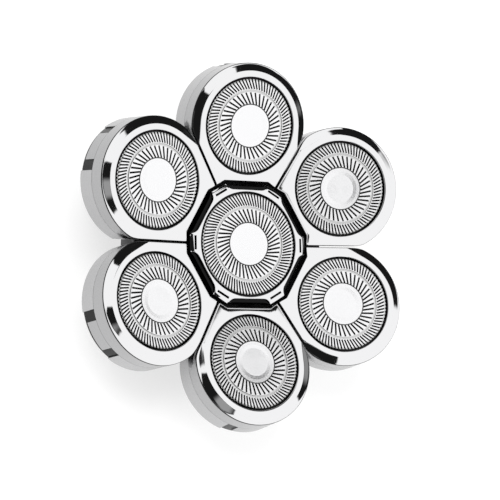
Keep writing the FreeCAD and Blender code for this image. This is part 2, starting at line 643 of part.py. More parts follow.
def hub_form(name):
    """The plastic hub that centres the cutter and takes the spindle's tip."""
    flange_top = -S.cutter_depth
    flange_bottom = flange_top - S.hub_flange_thickness
    step_top = flange_top + S.cutter_thickness + 0.1
    step_radius = CUTTER_BORE - S.fit_gap / 2
    flange = CUTTER_BORE + S.hub_flange_overlap
    pin_top = -(S.foil_thickness + 0.3)
    section = [
        (0, pin_top), (S.pin_radius, pin_top), (S.pin_radius, step_top), (step_radius, step_top),
        (step_radius, flange_top), (flange, flange_top), (flange, flange_bottom),
        (S.hub_radius, flange_bottom), (S.hub_radius, -HUB_DEPTH), (0, -HUB_DEPTH),
    ]
    socket = hexagon(name + "Socket", S.socket_flats, -HUB_DEPTH - 1, -HUB_DEPTH + S.socket_depth)
    return cut(name, turned(name + "Blank", section), [socket])


# The drive

def spindle_form(name, tip_top, flange_top, stem_end):
    """A spindle with a barrelled six-sided tip, a spring flange and a six-sided stem."""
    tip_bottom = tip_top - S.tip_length
    flange_bottom = flange_top - S.spindle_flange_thickness
    corner = S.tip_flats / 2 / cosine(30.0)
    end_radius = S.tip_flats / 2 * 0.78
    chamfer = S.tip_length * 0.3
    barrel = turned(name + "Barrel", [
        (0, tip_top), (end_radius, tip_top), (corner, tip_top - chamfer), (corner, tip_bottom + chamfer),
        (end_radius, tip_bottom), (0, tip_bottom)])
    tip = common(name + "Tip", [barrel, hexagon(name + "TipHex", S.tip_flats, tip_bottom - 1, tip_top + 1)])
    neck = cylinder(name + "Neck", S.neck_radius, flange_top - 0.1, tip_bottom + 0.1)
    flange = cylinder(name + "Flange", S.spindle_flange_radius, flange_bottom, flange_top)
    stem = hexagon(name + "Stem", S.stem_flats, stem_end, flange_bottom + 0.1)
    return fuse(name, [tip, neck, flange, stem])


def spring_form(name, bottom, top):
    """A coil spring between a gear's cup floor and the spindle's flange."""
    wire = S.wire_radius.value
    low = bottom.value + wire + 0.03
    high = top.value - wire - 0.03
    turns = S.coil_turns.value
    steps = int(turns * 12)
    sections = []
    for step in range(steps + 1):
        angle = FULL_TURN * turns * step / steps
        corners = []
        for corner in range(6):
            lift = math.radians(corner * 60.0)
            corners.append(FreeCAD.Vector(S.coil_radius.value + wire * math.cos(lift), 0, wire * math.sin(lift)))
        ring = Part.makePolygon(corners + [corners[0]])
        ring.translate(FreeCAD.Vector(0, 0, low + (high - low) * step / steps))
        ring.rotate(FreeCAD.Vector(0, 0, 0), FreeCAD.Vector(0, 0, 1), angle)
        sections.append(ring)
    item = DOC.addObject("Part::Feature", name)
    item.Shape = Part.makeLoft(sections, True, True)
    return item


def tooth_corners(teeth, pitch_radius, module):
    """Corners of a gear's outline: each flank is an involute taken at a few radii, thinned for backlash."""
    pressure = math.radians(20.0)
    base = pitch_radius * math.cos(pressure)
    tip = pitch_radius + module
    root = pitch_radius - 1.25 * module

    def roll(radius):
        angle = math.acos(min(1.0, base / radius))
        return math.tan(angle) - angle

    half = math.pi / 2 / teeth - S.backlash.value / 4 / pitch_radius
    start = max(base, root + 0.1 * module)
    corners = []
    for index in range(teeth):
        middle = 2 * math.pi * index / teeth
        spread = [(root, half + roll(pitch_radius) - roll(start) + 0.1 * module / pitch_radius)]
        for share in (0.0, 0.5, 1.0):
            radius = start + (tip - start) * share
            spread.append((radius, half + roll(pitch_radius) - roll(radius)))
        corners += [(radius, middle - angle) for radius, angle in spread]
        corners += [(radius, middle + angle) for radius, angle in reversed(spread)]
    return [FreeCAD.Vector(radius * math.cos(angle), radius * math.sin(angle), 0) for radius, angle in corners]


def toothed(name, teeth, pitch_radius):
    """A toothed disc with one tooth on the X axis."""
    corners = tooth_corners(int(teeth.value), pitch_radius.value, TOOTH_MODULE.value)
    face = Part.Face(Part.makePolygon(corners + [corners[0]]))
    disc = face.extrude(FreeCAD.Vector(0, 0, S.gear_thickness.value))
    item = DOC.addObject("Part::Feature", name)
    item.Shape = disc
    return put(item, z=GEAR_BOTTOM)


def spring_cup(name):
    return cylinder(name, S.cup_radius, CUP_FLOOR, SLEEVE_TOP + 1)


def planet_form():
    disc = toothed("PlanetTeeth", S.planet_teeth, PLANET_PITCH_RADIUS)
    sleeve = cylinder("PlanetSleeve", S.sleeve_radius, GEAR_BOTTOM + 0.1, SLEEVE_TOP)
    journal = cylinder("PlanetJournal", S.journal_radius, JOURNAL_BOTTOM, GEAR_BOTTOM + 0.1)
    stem_hole = hexagon("PlanetStemHole", S.stem_flats + S.fit_gap * 2, JOURNAL_BOTTOM - 1, CUP_FLOOR + 1)
    return cut("PlanetForm", fuse("PlanetBlank", [disc, sleeve, journal]), [spring_cup("PlanetCup"), stem_hole])


def sun_form():
    """The sun gear: a webbed wheel with the centre spindle's cup above and the handle's socket below."""
    rim = SUN_PITCH_RADIUS - S.web_margin
    web_top = GEAR_BOTTOM + (S.gear_thickness + S.web_thickness) / 2
    web_bottom = web_top - S.web_thickness
    disc = toothed("SunTeeth", S.sun_teeth, SUN_PITCH_RADIUS)
    gear_top = GEAR_BOTTOM + S.gear_thickness
    upper = turned("SunUpperRecess", [(S.web_inner, web_top), (rim, web_top), (rim, gear_top + 1),
                                      (S.web_inner, gear_top + 1)])
    lower = turned("SunLowerRecess", [(S.web_inner, web_bottom), (rim, web_bottom), (rim, GEAR_BOTTOM - 1),
                                      (S.web_inner, GEAR_BOTTOM - 1)])
    reach = (rim + S.web_inner) / 2
    holes = [polar_cylinder("SunHole%d" % number, S.web_hole_radius, web_bottom - 1, web_top + 1, reach, azimuth)
             for number, azimuth in enumerate(AZIMUTHS, start=1)]
    sleeve = cylinder("SunSleeve", S.sleeve_radius, GEAR_BOTTOM + 0.1, SLEEVE_TOP)
    journal = cylinder("SunJournal", S.sun_journal_radius, SUN_JOURNAL_BOTTOM, GEAR_BOTTOM + 0.1)
    blank = fuse("SunBlank", [cut("SunWheel", disc, [upper, lower] + holes), sleeve, journal])
    drive_top = SUN_JOURNAL_BOTTOM + S.drive_depth
    drive = hexagon("SunDriveSocket", S.drive_flats, SUN_JOURNAL_BOTTOM - 1, drive_top)
    stem_hole = hexagon("SunStemHole", S.stem_flats + S.fit_gap * 2, drive_top + 0.2, CUP_FLOOR + 1)
    return cut("SunForm", blank, [spring_cup("SunCup"), stem_hole, drive])


# The gearbox

def gearbox_plan(name, bottom, top):
    """The outline that housing and cover share: a hub, six pods and six screw columns."""
    shapes = [cylinder(name + "Hub", SUN_ROOM + S.hub_wall, bottom, top)]
    for number, azimuth in enumerate(AZIMUTHS, start=1):
        pod = polar_cylinder("%sPod%d" % (name, number), PLANET_ROOM + S.pod_wall, bottom, top, DRIVE_RADIUS, azimuth)
        lead = azimuth + S.screw_lead
        column = polar_cylinder("%sColumn%d" % (name, number), S.screw_column, bottom, top, SCREW_RING, lead)
        shapes += [pod, column]
    return fuse(name + "Plan", shapes)


def housing_form():
    bottom = S.collar_height
    floor = bottom + S.floor_thickness
    tools = [cylinder("SunRoom", SUN_ROOM, floor, COVER_BOTTOM + 1)]
    bearings = [cylinder("SunBearing", S.sun_journal_radius + S.fit_gap + S.bearing_wall, floor - 0.1, BEARING_TOP)]
    bores = [cylinder("SunBore", S.sun_journal_radius + S.fit_gap, bottom - 1, BEARING_TOP + 1)]
    for number, azimuth in enumerate(AZIMUTHS, start=1):
        journal = S.journal_radius + S.fit_gap
        tools.append(polar_cylinder("PodRoom%d" % number, PLANET_ROOM, floor, COVER_BOTTOM + 1, DRIVE_RADIUS, azimuth))
        bearings.append(polar_cylinder("PodBearing%d" % number, journal + S.bearing_wall, floor - 0.1,
                                       BEARING_TOP, DRIVE_RADIUS, azimuth))
        bores.append(polar_cylinder("PodBore%d" % number, journal, bottom + S.pocket_floor, BEARING_TOP + 1,
                                    DRIVE_RADIUS, azimuth))
        lead = azimuth + S.screw_lead
        bores.append(polar_cylinder("ScrewHole%d" % number, S.screw_radius + S.fit_gap, bottom - 1, COVER_BOTTOM + 1,
                                    SCREW_RING, lead))
        bores.append(polar_cylinder("ScrewSeat%d" % number, S.screw_head_radius + S.fit_gap, bottom - 1,
                                    bottom + S.screw_head_height, SCREW_RING, lead))
    shell = cut("HousingShell", gearbox_plan("Housing", bottom, COVER_BOTTOM), tools)
    return cut("HousingForm", fuse("HousingBlank", [shell] + bearings), bores)


def bracket(number, azimuth):
    """A hinge bracket: an eye on a stem."""
    half = S.bracket_width / 2
    eye = DOC.addObject("Part::Cylinder", "Eye%d" % number)
    hole = DOC.addObject("Part::Cylinder", "EyeHole%d" % number)
    stem = DOC.addObject("Part::Box", "Stem%d" % number)
    bind(eye, "Radius", S.hinge_eye_radius)
    bind(hole, "Radius", S.hinge_pin_radius + S.fit_gap)
    bind(stem, "Length", S.bracket_stem)
    bind(stem, "Width", S.bracket_width)
    bind(stem, "Height", HINGE_HEIGHT - COVER_TOP + 0.2)
    lay = about_z(azimuth).multiply(FreeCAD.Rotation(FreeCAD.Vector(1, 0, 0), -90))
    start = {"x": HINGE_RADIUS * cosine(azimuth) + half * sine(azimuth),
             "y": HINGE_RADIUS * sine(azimuth) - half * cosine(azimuth)}
    inner = HINGE_RADIUS - S.bracket_stem / 2
    for item in (eye, hole):
        bind(item, "Height", S.bracket_width)
        put(item, start["x"], start["y"], HINGE_HEIGHT, lay)
    put(stem, inner * cosine(azimuth) + half * sine(azimuth), inner * sine(azimuth) - half * cosine(azimuth),
        COVER_TOP - 0.2, about_z(azimuth))
    return cut("Bracket%d" % number, fuse("BracketBlank%d" % number, [eye, stem]), [hole])


def cover_form():
    tools = [cylinder("CoverSunHole", S.sleeve_radius + S.fit_gap, COVER_BOTTOM - 1, COVER_TOP + 1)]
    brackets = []
    for number, azimuth in enumerate(AZIMUTHS, start=1):
        tools.append(polar_cylinder("CoverPodHole%d" % number, S.sleeve_radius + S.fit_gap, COVER_BOTTOM - 1,
                                    COVER_TOP + 1, DRIVE_RADIUS, azimuth))
        tools.append(polar_cylinder("CoverScrewHole%d" % number, S.screw_radius + 0.01, COVER_BOTTOM - 1,
                                    COVER_BOTTOM + S.screw_bite + 0.05, SCREW_RING, azimuth + S.screw_lead))
        brackets.append(bracket(number, azimuth))
    plate = cut("CoverPlate", gearbox_plan("Cover", COVER_BOTTOM, COVER_TOP), tools)
    boss = cylinder("CoverBoss", S.boss_radius, COVER_TOP - 0.2, COVER_TOP + BOSS_HEIGHT)
    boss_bore = cylinder("CoverBossBore", S.boss_radius - S.boss_wall, COVER_TOP - 1, COVER_TOP + BOSS_HEIGHT + 1)
    tube = cut("CoverTube", boss, [boss_bore])
    return fuse("CoverForm", [plate, tube] + brackets)


def screw_form():
    """All the cover's screws, put in from below."""
    shapes = []
    base = S.collar_height.value
    for azimuth in AZIMUTHS:
        lead = math.radians(azimuth + S.screw_lead.value)
        foot = FreeCAD.Vector(SCREW_RING.value * math.cos(lead), SCREW_RING.value * math.sin(lead), base + 0.02)
        head = Part.makeCylinder(S.screw_head_radius.value, S.screw_head_height.value - 0.02, foot)
        slot = Part.makeBox(S.screw_head_radius.value * 2, 0.35, 0.3,
                            foot - FreeCAD.Vector(S.screw_head_radius.value, 0.175, 0.01))
        length = COVER_BOTTOM.value - base + S.screw_bite.value - 0.02
        shank = Part.makeCylinder(S.screw_radius.value, length, foot)
        shapes.append(head.fuse(shank).cut(slot))
    return group("ScrewForm", shapes)


def collar_form():
    height = S.collar_height
    flange = S.collar_radius + S.collar_flange
    flange_bottom = height - S.collar_flange_height
    tube = turned("CollarTube", [
        (COLLAR_BORE, 0), (S.collar_radius, 0), (S.collar_radius, flange_bottom), (flange, flange_bottom),
        (flange, height), (COLLAR_MOUTH, height), (COLLAR_MOUTH, S.collar_bore_depth),
        (COLLAR_BORE, S.collar_bore_depth)])
    lugs = []
    for number in range(3):
        name = "Lug%d" % (number + 1)
        slab = cylinder(name + "Slab", S.collar_radius + S.lug_reach, S.lug_lift, S.lug_lift + S.lug_height,
                        angle=S.lug_angle)
        core = cylinder(name + "Core", S.collar_radius - 0.2, S.lug_lift - 1, S.lug_lift + S.lug_height + 1)
        lug = cut(name, slab, [core])
        lug.Placement = FreeCAD.Placement(FreeCAD.Vector(0, 0, 0), about_z(number * 120.0))
        lugs.append(lug)
    half = S.key_width / 2
    notch = block("KeyNotch", (COLLAR_BORE - 1, -half, -1), (S.collar_radius + 2, half, S.key_depth))
    return cut("CollarForm", fuse("CollarBlank", [tube] + lugs), [notch])


# The centre head

def hollow(name, azimuth, near, straight, radius, bottom, top):
    """What one hollow between two ears takes off: straight in the middle, rounded towards the ears."""
    middle = block(name + "Middle", (near, -straight, bottom), (near + radius * 2, straight, top))
    left = cylinder(name + "Left", radius, bottom, top, near + radius, straight)
    right = cylinder(name + "Right", radius, bottom, top, near + radius, -straight)
    item = fuse(name, [middle, left, right])
    item.Placement = FreeCAD.Placement(FreeCAD.Vector(0, 0, 0), about_z(azimuth))
    return item


def centre_plan(name, band, bottom, top):
    """A hexagon with its corners cut off and a hollow between each two ears."""
    ahead = EAR_REACH * cosine(FLANK_ANGLE) + S.ear_width / 2 * sine(FLANK_ANGLE)
    across = EAR_REACH * sine(FLANK_ANGLE) - S.ear_width / 2 * cosine(FLANK_ANGLE)
    near = CENTRE_OPENING + band
    straight = across * S.hollow_share
    depth = (ahead - near).value
    width = (across - straight).value
    radius = (depth * depth + width * width) / (2 * depth)
    plate = DOC.addObject("Part::Prism", name + "Plate")
    plate.Polygon = OUTER_HEADS
    bind(plate, "Circumradius", EAR_REACH / cosine(FLANK_ANGLE))
    bind(plate, "Height", Size.of(top) - bottom)
    put(plate, z=bottom, turn=about_z(FLANK_ANGLE))
    tools = [hollow("%sHollow%d" % (name, number), azimuth, near, straight, radius, bottom - 1, top + 1)
             for number, azimuth in enumerate(AZIMUTHS, start=1)]
    return cut(name + "Plan", plate, tools)


def centre_ring_form():
    step = -S.centre_step_depth
    bottom = -S.ring_depth
    upper = centre_plan("RingTop", S.centre_band, step - 0.1, 0)
    lower = centre_plan("RingBase", S.centre_band + S.centre_step, bottom, step)
    far = EAR_REACH + 3
    land = CENTRE_OPENING + S.centre_band
    slope = turned("RingSlope", [(0, 0), (land, 0), (far, -(far - land) * S.ear_fall), (far, bottom), (0, bottom)])
    blank = common("RingBlank", [fuse("RingForms", [upper, lower]), slope])
    bore = turned("RingBore", [(0, 1), (CENTRE_OPENING, 1), (CENTRE_OPENING, -S.lip_thickness),
                               (CENTRE_POCKET, -S.lip_thickness), (CENTRE_POCKET, bottom - 1), (0, bottom - 1)])
    width = S.ear_slot_width.value
    length = S.ear_slot_length.value
    depth = S.ear_slot_depth.value
    corner = FreeCAD.Vector((EAR_REACH - S.ear_slot_inset).value - width / 2, -length / 2, -depth)
    slot_shapes = []
    for index in range(OUTER_HEADS):
        slot = Part.makeBox(width, length, depth + 1, corner)
        slot.rotate(FreeCAD.Vector(0, 0, 0), FreeCAD.Vector(0, 0, 1), index * FULL_TURN / OUTER_HEADS)
        slot_shapes.append(slot)
    return cut("CentreRingForm", cut("RingHollow", blank, [bore]), [group("EarSlots", slot_shapes)])


def holder_form():
    top = -S.ring_depth
    bottom = -HOLDER_DEPTH
    guide_top = -GUIDE_DEPTH
    guide_bottom = -GUIDE_BOTTOM
    inside = HOLDER_RADIUS - S.holder_wall
    spigot = CENTRE_POCKET - S.fit_gap
    spigot_top = -SPIGOT_DEPTH
    sleeve = S.boss_radius + S.fit_gap
    section = [
        (S.guide_radius, guide_top), (S.guide_radius, guide_bottom), (sleeve, guide_bottom), (sleeve, -SLEEVE_DEPTH),
        (sleeve + S.sleeve_wall, -SLEEVE_DEPTH), (sleeve + S.sleeve_wall, guide_bottom), (inside, guide_bottom),
        (inside, bottom), (HOLDER_RADIUS, bottom), (HOLDER_RADIUS, top), (spigot, top), (spigot, spigot_top),
        (spigot - S.spigot_wall, spigot_top), (spigot - S.spigot_wall, guide_top),
    ]
    return turned("HolderForm", section)


# Assembly

def standing(label, form, x=0.0, y=0.0, z=0.0, turn=0.0):
    """Puts a copy of a form upright at a place."""
    link = DOC.addObject("App::Link", label)
    link.LinkedObject = form
    link.Label = label
    return put(link, x, y, z, about_z(turn))


def in_head(label, form, azimuth, spin=0.0):
    """Puts a copy of a form in the leaning frame of an outer head."""
    link = DOC.addObject("App::Link", label)
    link.LinkedObject = form
    link.Label = label
    lean = FreeCAD.Rotation(FreeCAD.Vector(0, 1, 0), -S.head_tilt.value)
    turn = about_z(azimuth).multiply(lean).multiply(about_z(spin))
    return put(link, S.head_pitch * cosine(azimuth), S.head_pitch * sine(azimuth), HEAD_PLANE + S.head_rise, turn)


def mesh_turn(azimuth):
    """Turns a planet gear so that a gap between its teeth faces the sun gear's nearest tooth."""
    pitch_angle = FULL_TURN / S.sun_teeth.value
    lead = -(azimuth % pitch_angle)
    ratio = S.sun_teeth.value / S.planet_teeth.value
    gap = FULL_TURN / S.planet_teeth.value / 2
    return azimuth + 180.0 - ratio * lead - gap


def assemble():
    cap = cap_form()
    shell = shell_form()
    flange = OPENING_RADIUS + S.flange_overlap
    foil = foil_form("Foil", FOIL_RADIUS, flange, Size.of(0), S.inner_slot_count, S.outer_slot_count)
    cutter = cutter_form("Cutter", FOIL_RADIUS - S.foil_wall, 0)
    hub = hub_form("Hub")
    planet = planet_form()
    lean = S.drive_offset * sine(S.head_tilt)
    outer_tip = HEAD_PLANE + S.head_rise - (TIP_DEPTH - lean) / cosine(S.head_tilt)
    outer_flange = COVER_TOP + S.outer_flange_lift
    centre_flange_top = COVER_TOP + S.centre_flange_lift
    spindle = spindle_form("Spindle", outer_tip, outer_flange, CUP_FLOOR - S.outer_stem_reach)
    spring = spring_form("Spring", CUP_FLOOR, outer_flange - S.spindle_flange_thickness)
    nodes = []
    for number, azimuth in enumerate(AZIMUTHS, start=1):
        turn = mesh_turn(azimuth)
        x = DRIVE_RADIUS * cosine(azimuth)
        y = DRIVE_RADIUS * sine(azimuth)
        nodes.append(in_head("cap_%d" % number, cap, azimuth))
        nodes.append(in_head("shell_%d" % number, shell, azimuth))
        nodes.append(in_head("foil_%d" % number, foil, azimuth))
        nodes.append(in_head("cutter_%d" % number, cutter, azimuth, turn - azimuth))
        nodes.append(in_head("cutter_hub_%d" % number, hub, azimuth, turn - azimuth))
        nodes.append(standing("planet_gear_%d" % number, planet, x, y, 0, turn))
        nodes.append(standing("spindle_%d" % number, spindle, x, y, 0, turn))
        nodes.append(standing("spring_%d" % number, spring, x, y, 0, turn))
    centre_foil = foil_form("CentreFoil", CENTRE_FOIL_RADIUS, CENTRE_OPENING + S.centre_flange,
                            S.centre_slot_step, S.centre_inner_count, S.centre_outer_count)
    centre_cutter = cutter_form("CentreCutter", CENTRE_FOIL_RADIUS - S.foil_wall, S.centre_slot_step)
    centre_tip = HEAD_PLANE - TIP_DEPTH
    centre_spindle = spindle_form("CentreSpindle", centre_tip, centre_flange_top, CUP_FLOOR - S.centre_stem_reach)
    centre_spring = spring_form("CentreSpring", CUP_FLOOR, centre_flange_top - S.spindle_flange_thickness)
    nodes += [
        standing("centre_ring", centre_ring_form(), z=HEAD_PLANE),
        standing("centre_holder", holder_form(), z=HEAD_PLANE),
        standing("centre_foil", centre_foil, z=HEAD_PLANE),
        standing("centre_cutter", centre_cutter, z=HEAD_PLANE),
        standing("centre_cutter_hub", hub, z=HEAD_PLANE),
        standing("sun_gear", sun_form()),
        standing("centre_spindle", centre_spindle),
        standing("centre_spring", centre_spring),
        standing("gearbox_housing", housing_form()),
        standing("gearbox_cover", cover_form()),
        standing("connector_collar", collar_form()),
        standing("cover_screws", screw_form()),
    ]
    return nodes


def check_and_write(nodes):
    DOC.recompute()
    for item in DOC.Objects:
        bad = [state for state in item.State if state in ("Invalid", "Error")]
        if bad:
            raise RuntimeError("%s is %s" % (item.Name, bad))
    shapes = {}
    for node in nodes:
        shape = Part.getShape(node)
        if shape.isNull() or not shape.isValid():
            raise RuntimeError(node.Label + " has no valid shape")
        shapes[node.Label] = shape
    os.makedirs("parts", exist_ok=True)
    for label, shape in shapes.items():
        shape.exportStep("parts/%s.step" % label)
        print(label, len(shape.Solids), "solid(s), %.1f mm3" % shape.Volume)


check_and_write(assemble())
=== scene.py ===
import math

import bmesh
import bpy
from mathutils import Matrix, Vector


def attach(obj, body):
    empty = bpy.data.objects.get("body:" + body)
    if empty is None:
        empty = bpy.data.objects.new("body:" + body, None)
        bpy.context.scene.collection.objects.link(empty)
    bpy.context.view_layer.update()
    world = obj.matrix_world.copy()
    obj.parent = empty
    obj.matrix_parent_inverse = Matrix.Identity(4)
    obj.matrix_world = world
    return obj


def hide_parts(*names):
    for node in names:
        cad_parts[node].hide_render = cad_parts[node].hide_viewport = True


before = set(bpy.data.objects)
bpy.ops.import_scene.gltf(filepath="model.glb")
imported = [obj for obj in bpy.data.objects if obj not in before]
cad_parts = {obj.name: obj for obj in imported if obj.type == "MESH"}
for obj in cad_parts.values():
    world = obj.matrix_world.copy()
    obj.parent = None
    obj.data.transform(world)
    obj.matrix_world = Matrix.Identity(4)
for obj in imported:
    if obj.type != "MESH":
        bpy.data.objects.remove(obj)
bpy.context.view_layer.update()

# The chromed pieces are drawn in millimetres in the frame of their own head: X away from the middle of the
# unit, Z out of the foil, origin in the middle of the opening.

MM = 0.001
SHARP = math.radians(35.0)
HEADS = 6
FAR = 99.0
AZIMUTHS = [30.0 + 60.0 * index for index in range(HEADS)]
SIN_FLANK = 0.5
COS_FLANK = math.cos(math.radians(30.0))

# The heads in the unit: pitch circle, inward lean, rise over the centre head, height of the centre face.
PITCH = 21.0
TILT = 10.87
COS_TILT = math.cos(math.radians(TILT))
RISE = 1.446
HEAD_PLANE = 19.8

# A cap: radii of its opening, flat land, rim, inside and foot, its lip, the bevel and its lower edge. The
# heights of its wall lie close together where the finger grooves start and end.
OPENING = 8.68
LAND = 9.75
RIM = 11.2
INSIDE = 9.2
FOOT = 10.08
LIP = 0.7
LIP_CHAMFER = 0.05
OPENING_ROUNDING = 0.14
BEVEL_DROP = 0.6
BEVEL_SLOPE = BEVEL_DROP / (RIM - LAND)
PARTING = -3.8
CAP_ROUNDING = 0.13
CAP_CHAMFER = 0.07
CREASE_REACH = 0.08
CREASE_SINK = 0.006
WALL_HEIGHTS = (-1.2, -1.5, -1.62, -1.72, -1.9, -2.15, -2.4, -2.65, -2.9, -3.15, -3.4, -3.55, -3.66, -3.72)
RIM_END = 130.0
HALF_GAP = 0.15
INNER_WALL = 0.68
INNER_FLAT = INSIDE + INNER_WALL
FLANK_SLOPE = SIN_FLANK / COS_FLANK * COS_TILT
FLANK_START = (PITCH * SIN_FLANK - HALF_GAP) / COS_FLANK

# The finger groove in a flank, and the snap tongue with its recess in the shell.
GROOVE_DEPTH = 0.7
GROOVE_HALF_HEIGHT = 1.0
GROOVE_LIFT = 0.15
TONGUE_HALF_ANGLE = 14.0
TONGUE_LENGTH = 2.9
RECESS_DEPTH = 1.2
RECESS_FLOOR = 10.95

# A foil: its edge inside the opening, the middle disc, where its sunk band starts as a share of the edge, and
# how much further out the band lies on the centre foil.
FOIL_INSET = 0.38
FOIL_EDGE = OPENING - FOIL_INSET
DISC_EDGE = (3.7, 3.97)
BAND_SHARE = 0.731
CENTRE_SLOT_STEP = 0.3

# The centre ring, its six ears and their slots: width, length and depth.
RING_GAP = 0.6
EAR_HALF_WIDTH = 1.65
EAR_REACH = (PITCH - INNER_FLAT * COS_TILT - RING_GAP - EAR_HALF_WIDTH * SIN_FLANK) / COS_FLANK
EAR_LENGTH = 2.01
EAR_SLOT = (0.4, 2.5, 0.6)
EAR_SLOT_INSET = 0.95
CENTRE_OPENING = EAR_REACH - EAR_LENGTH
CENTRE_FOIL_EDGE = CENTRE_OPENING - FOIL_INSET
CENTRE_BAND = 0.36
CENTRE_POCKET = 9.75
CENTRE_STEP = 0.65
CENTRE_DEPTH = 3.4
RING_OPENING_ROUNDING = 0.1
RING_ROUNDING = 0.09
RING_CHAMFER = 0.05
RING_MIDDLE = -2.0
STEP_DROP = 0.6
HOLLOW_SHARE = 0.66

# The toe of a cap, which reaches in between two ears.
TOE_REACH = EAR_REACH + RING_GAP
INNER_CORNER = (TOE_REACH - (PITCH - INNER_FLAT * COS_TILT) * COS_FLANK) / SIN_FLANK
TOE = ((PITCH - TOE_REACH * COS_FLANK) / COS_TILT, TOE_REACH * SIN_FLANK - HALF_GAP / COS_FLANK)


def head_matrix(azimuth):
    """Row-frame matrix of an outer head's own frame, in millimetres."""
    angle = math.radians(azimuth)
    place = Vector((PITCH * math.cos(angle), PITCH * math.sin(angle), HEAD_PLANE + RISE))
    turn = Matrix.Rotation(angle, 4, "Z") @ Matrix.Rotation(-math.radians(TILT), 4, "Y")
    return Matrix.Translation(place) @ turn


CENTRE_MATRIX = Matrix.Translation((0.0, 0.0, HEAD_PLANE))


# Mesh helpers

def loop_surface(name, angles, section):
    """A closed ring-shaped mesh: a grid whose columns follow the angles and whose rows follow a section."""
    rows = len(section(angles[0]))
    form = bmesh.new()
    bmesh.ops.create_grid(form, x_segments=len(angles), y_segments=rows, size=1.0)
    columns = len(angles)
    outline = [section(angle) for angle in angles]
    for vert in form.verts:
        column = int(round((vert.co.x + 1.0) / 2.0 * columns)) % columns
        row = int(round((vert.co.y + 1.0) / 2.0 * rows)) % rows
        radius, height = outline[column][row]
        angle = math.radians(angles[column])
        vert.co = Vector((radius * math.cos(angle), radius * math.sin(angle), height))
    bmesh.ops.remove_doubles(form, verts=form.verts, dist=1e-5)
    bmesh.ops.dissolve_degenerate(form, edges=form.edges, dist=1e-5)
    bmesh.ops.recalc_face_normals(form, faces=form.faces)
    mesh = bpy.data.meshes.new(name)
    form.to_mesh(mesh)
    form.free()
    return mesh


def cut_out(mesh, tool_mesh):
    """A copy of the mesh without the parts that lie in the solids of the other one."""
    piece = bpy.data.objects.new("piece", mesh)
    tool = bpy.data.objects.new("tool", tool_mesh)
    for obj in (piece, tool):
        bpy.context.scene.collection.objects.link(obj)
    removal = piece.modifiers.new("removal", "BOOLEAN")
    removal.operation = "DIFFERENCE"
    removal.solver = "EXACT"
    removal.object = tool
    result = bpy.data.meshes.new_from_object(piece.evaluated_get(bpy.context.evaluated_depsgraph_get()))
    for obj in (piece, tool):
        bpy.data.objects.remove(obj)
    return result


def shade(obj):
    """Smooth shading that stops at sharp edges."""
    form = bmesh.new()
    form.from_mesh(obj.data)
    for face in form.faces:
        face.smooth = True
    for edge in form.edges:
        edge.smooth = len(edge.link_faces) == 2 and edge.calc_face_angle(0.0) < SHARP
    form.to_mesh(obj.data)
    form.free()


def place(name, mesh, matrix, body, slot, material, replaced):
    """Puts a copy of a millimetre mesh in the row frame, on its body and in place of a CAD node."""
    copy = mesh.copy()
    copy.transform(Matrix.Scale(MM, 4) @ matrix)
    obj = bpy.data.objects.new(name, copy)
    bpy.context.scene.collection.objects.link(obj)
    copy.materials.clear()
    copy.materials.append(material)
    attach(obj, body)
    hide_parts(replaced)
    return obj


# The cap of an outer head

def groove_inset(height):
    """How deep the finger groove goes into a flank at this height."""
    radius = (GROOVE_HALF_HEIGHT ** 2 + GROOVE_DEPTH ** 2) / (2 * GROOVE_DEPTH)
    lift = height - (PARTING + GROOVE_LIFT + GROOVE_HALF_HEIGHT)
    return max(0.0, math.sqrt(max(0.0, radius * radius - lift * lift)) - (radius - GROOVE_DEPTH))


def soft_least(first, second, softness=0.12):
    """The lesser of two lengths, with the corner between them rounded."""
    gap = max(softness * 4.0 - abs(first - second), 0.0) / (softness * 4.0)
    return min(first, second) - gap * gap * softness


def cap_reach(angle, height=0.0):
    """Distance from the middle of the opening to the outside of the cap."""
    cos, sin = math.cos(math.radians(angle)), abs(math.sin(math.radians(angle)))
    reach = RIM if angle_from_front(angle) < RIM_END else FAR
    lean = sin - FLANK_SLOPE * cos
    start = FLANK_START - groove_inset(height) * math.hypot(1.0, FLANK_SLOPE)
    if lean > 0.05:
        reach = soft_least(reach, start / lean)
    if cos < -0.5:
        flat = INNER_FLAT / -cos
        if flat * sin > INNER_CORNER:
            run, climb = TOE[0] - INNER_FLAT, TOE[1] - INNER_CORNER
            flat = (INNER_FLAT * climb - INNER_CORNER * run) / max(-cos * climb - sin * run, 0.05)
        reach = soft_least(reach, flat, 0.06)
    return reach


def angle_from_front(angle):
    """How far a direction lies from the outward one, in degrees up to 180."""
    return abs((angle + 180.0) % 360.0 - 180.0)


def land_edge(angle):
    """Distance to the crease between land and bevel: round the outer half, then straight on to the flanks."""
    sin = abs(math.sin(math.radians(angle)))
    if angle_from_front(angle) <= 90.0:
        return LAND
    return LAND / max(sin, 0.05)


def cap_drop(angle, radius):
    """Fall of the bevel at this distance from the middle."""
    sin = abs(math.sin(math.radians(angle)))
    across = radius if angle_from_front(angle) <= 90.0 else radius * sin
    return max(0.0, across - LAND) * BEVEL_SLOPE


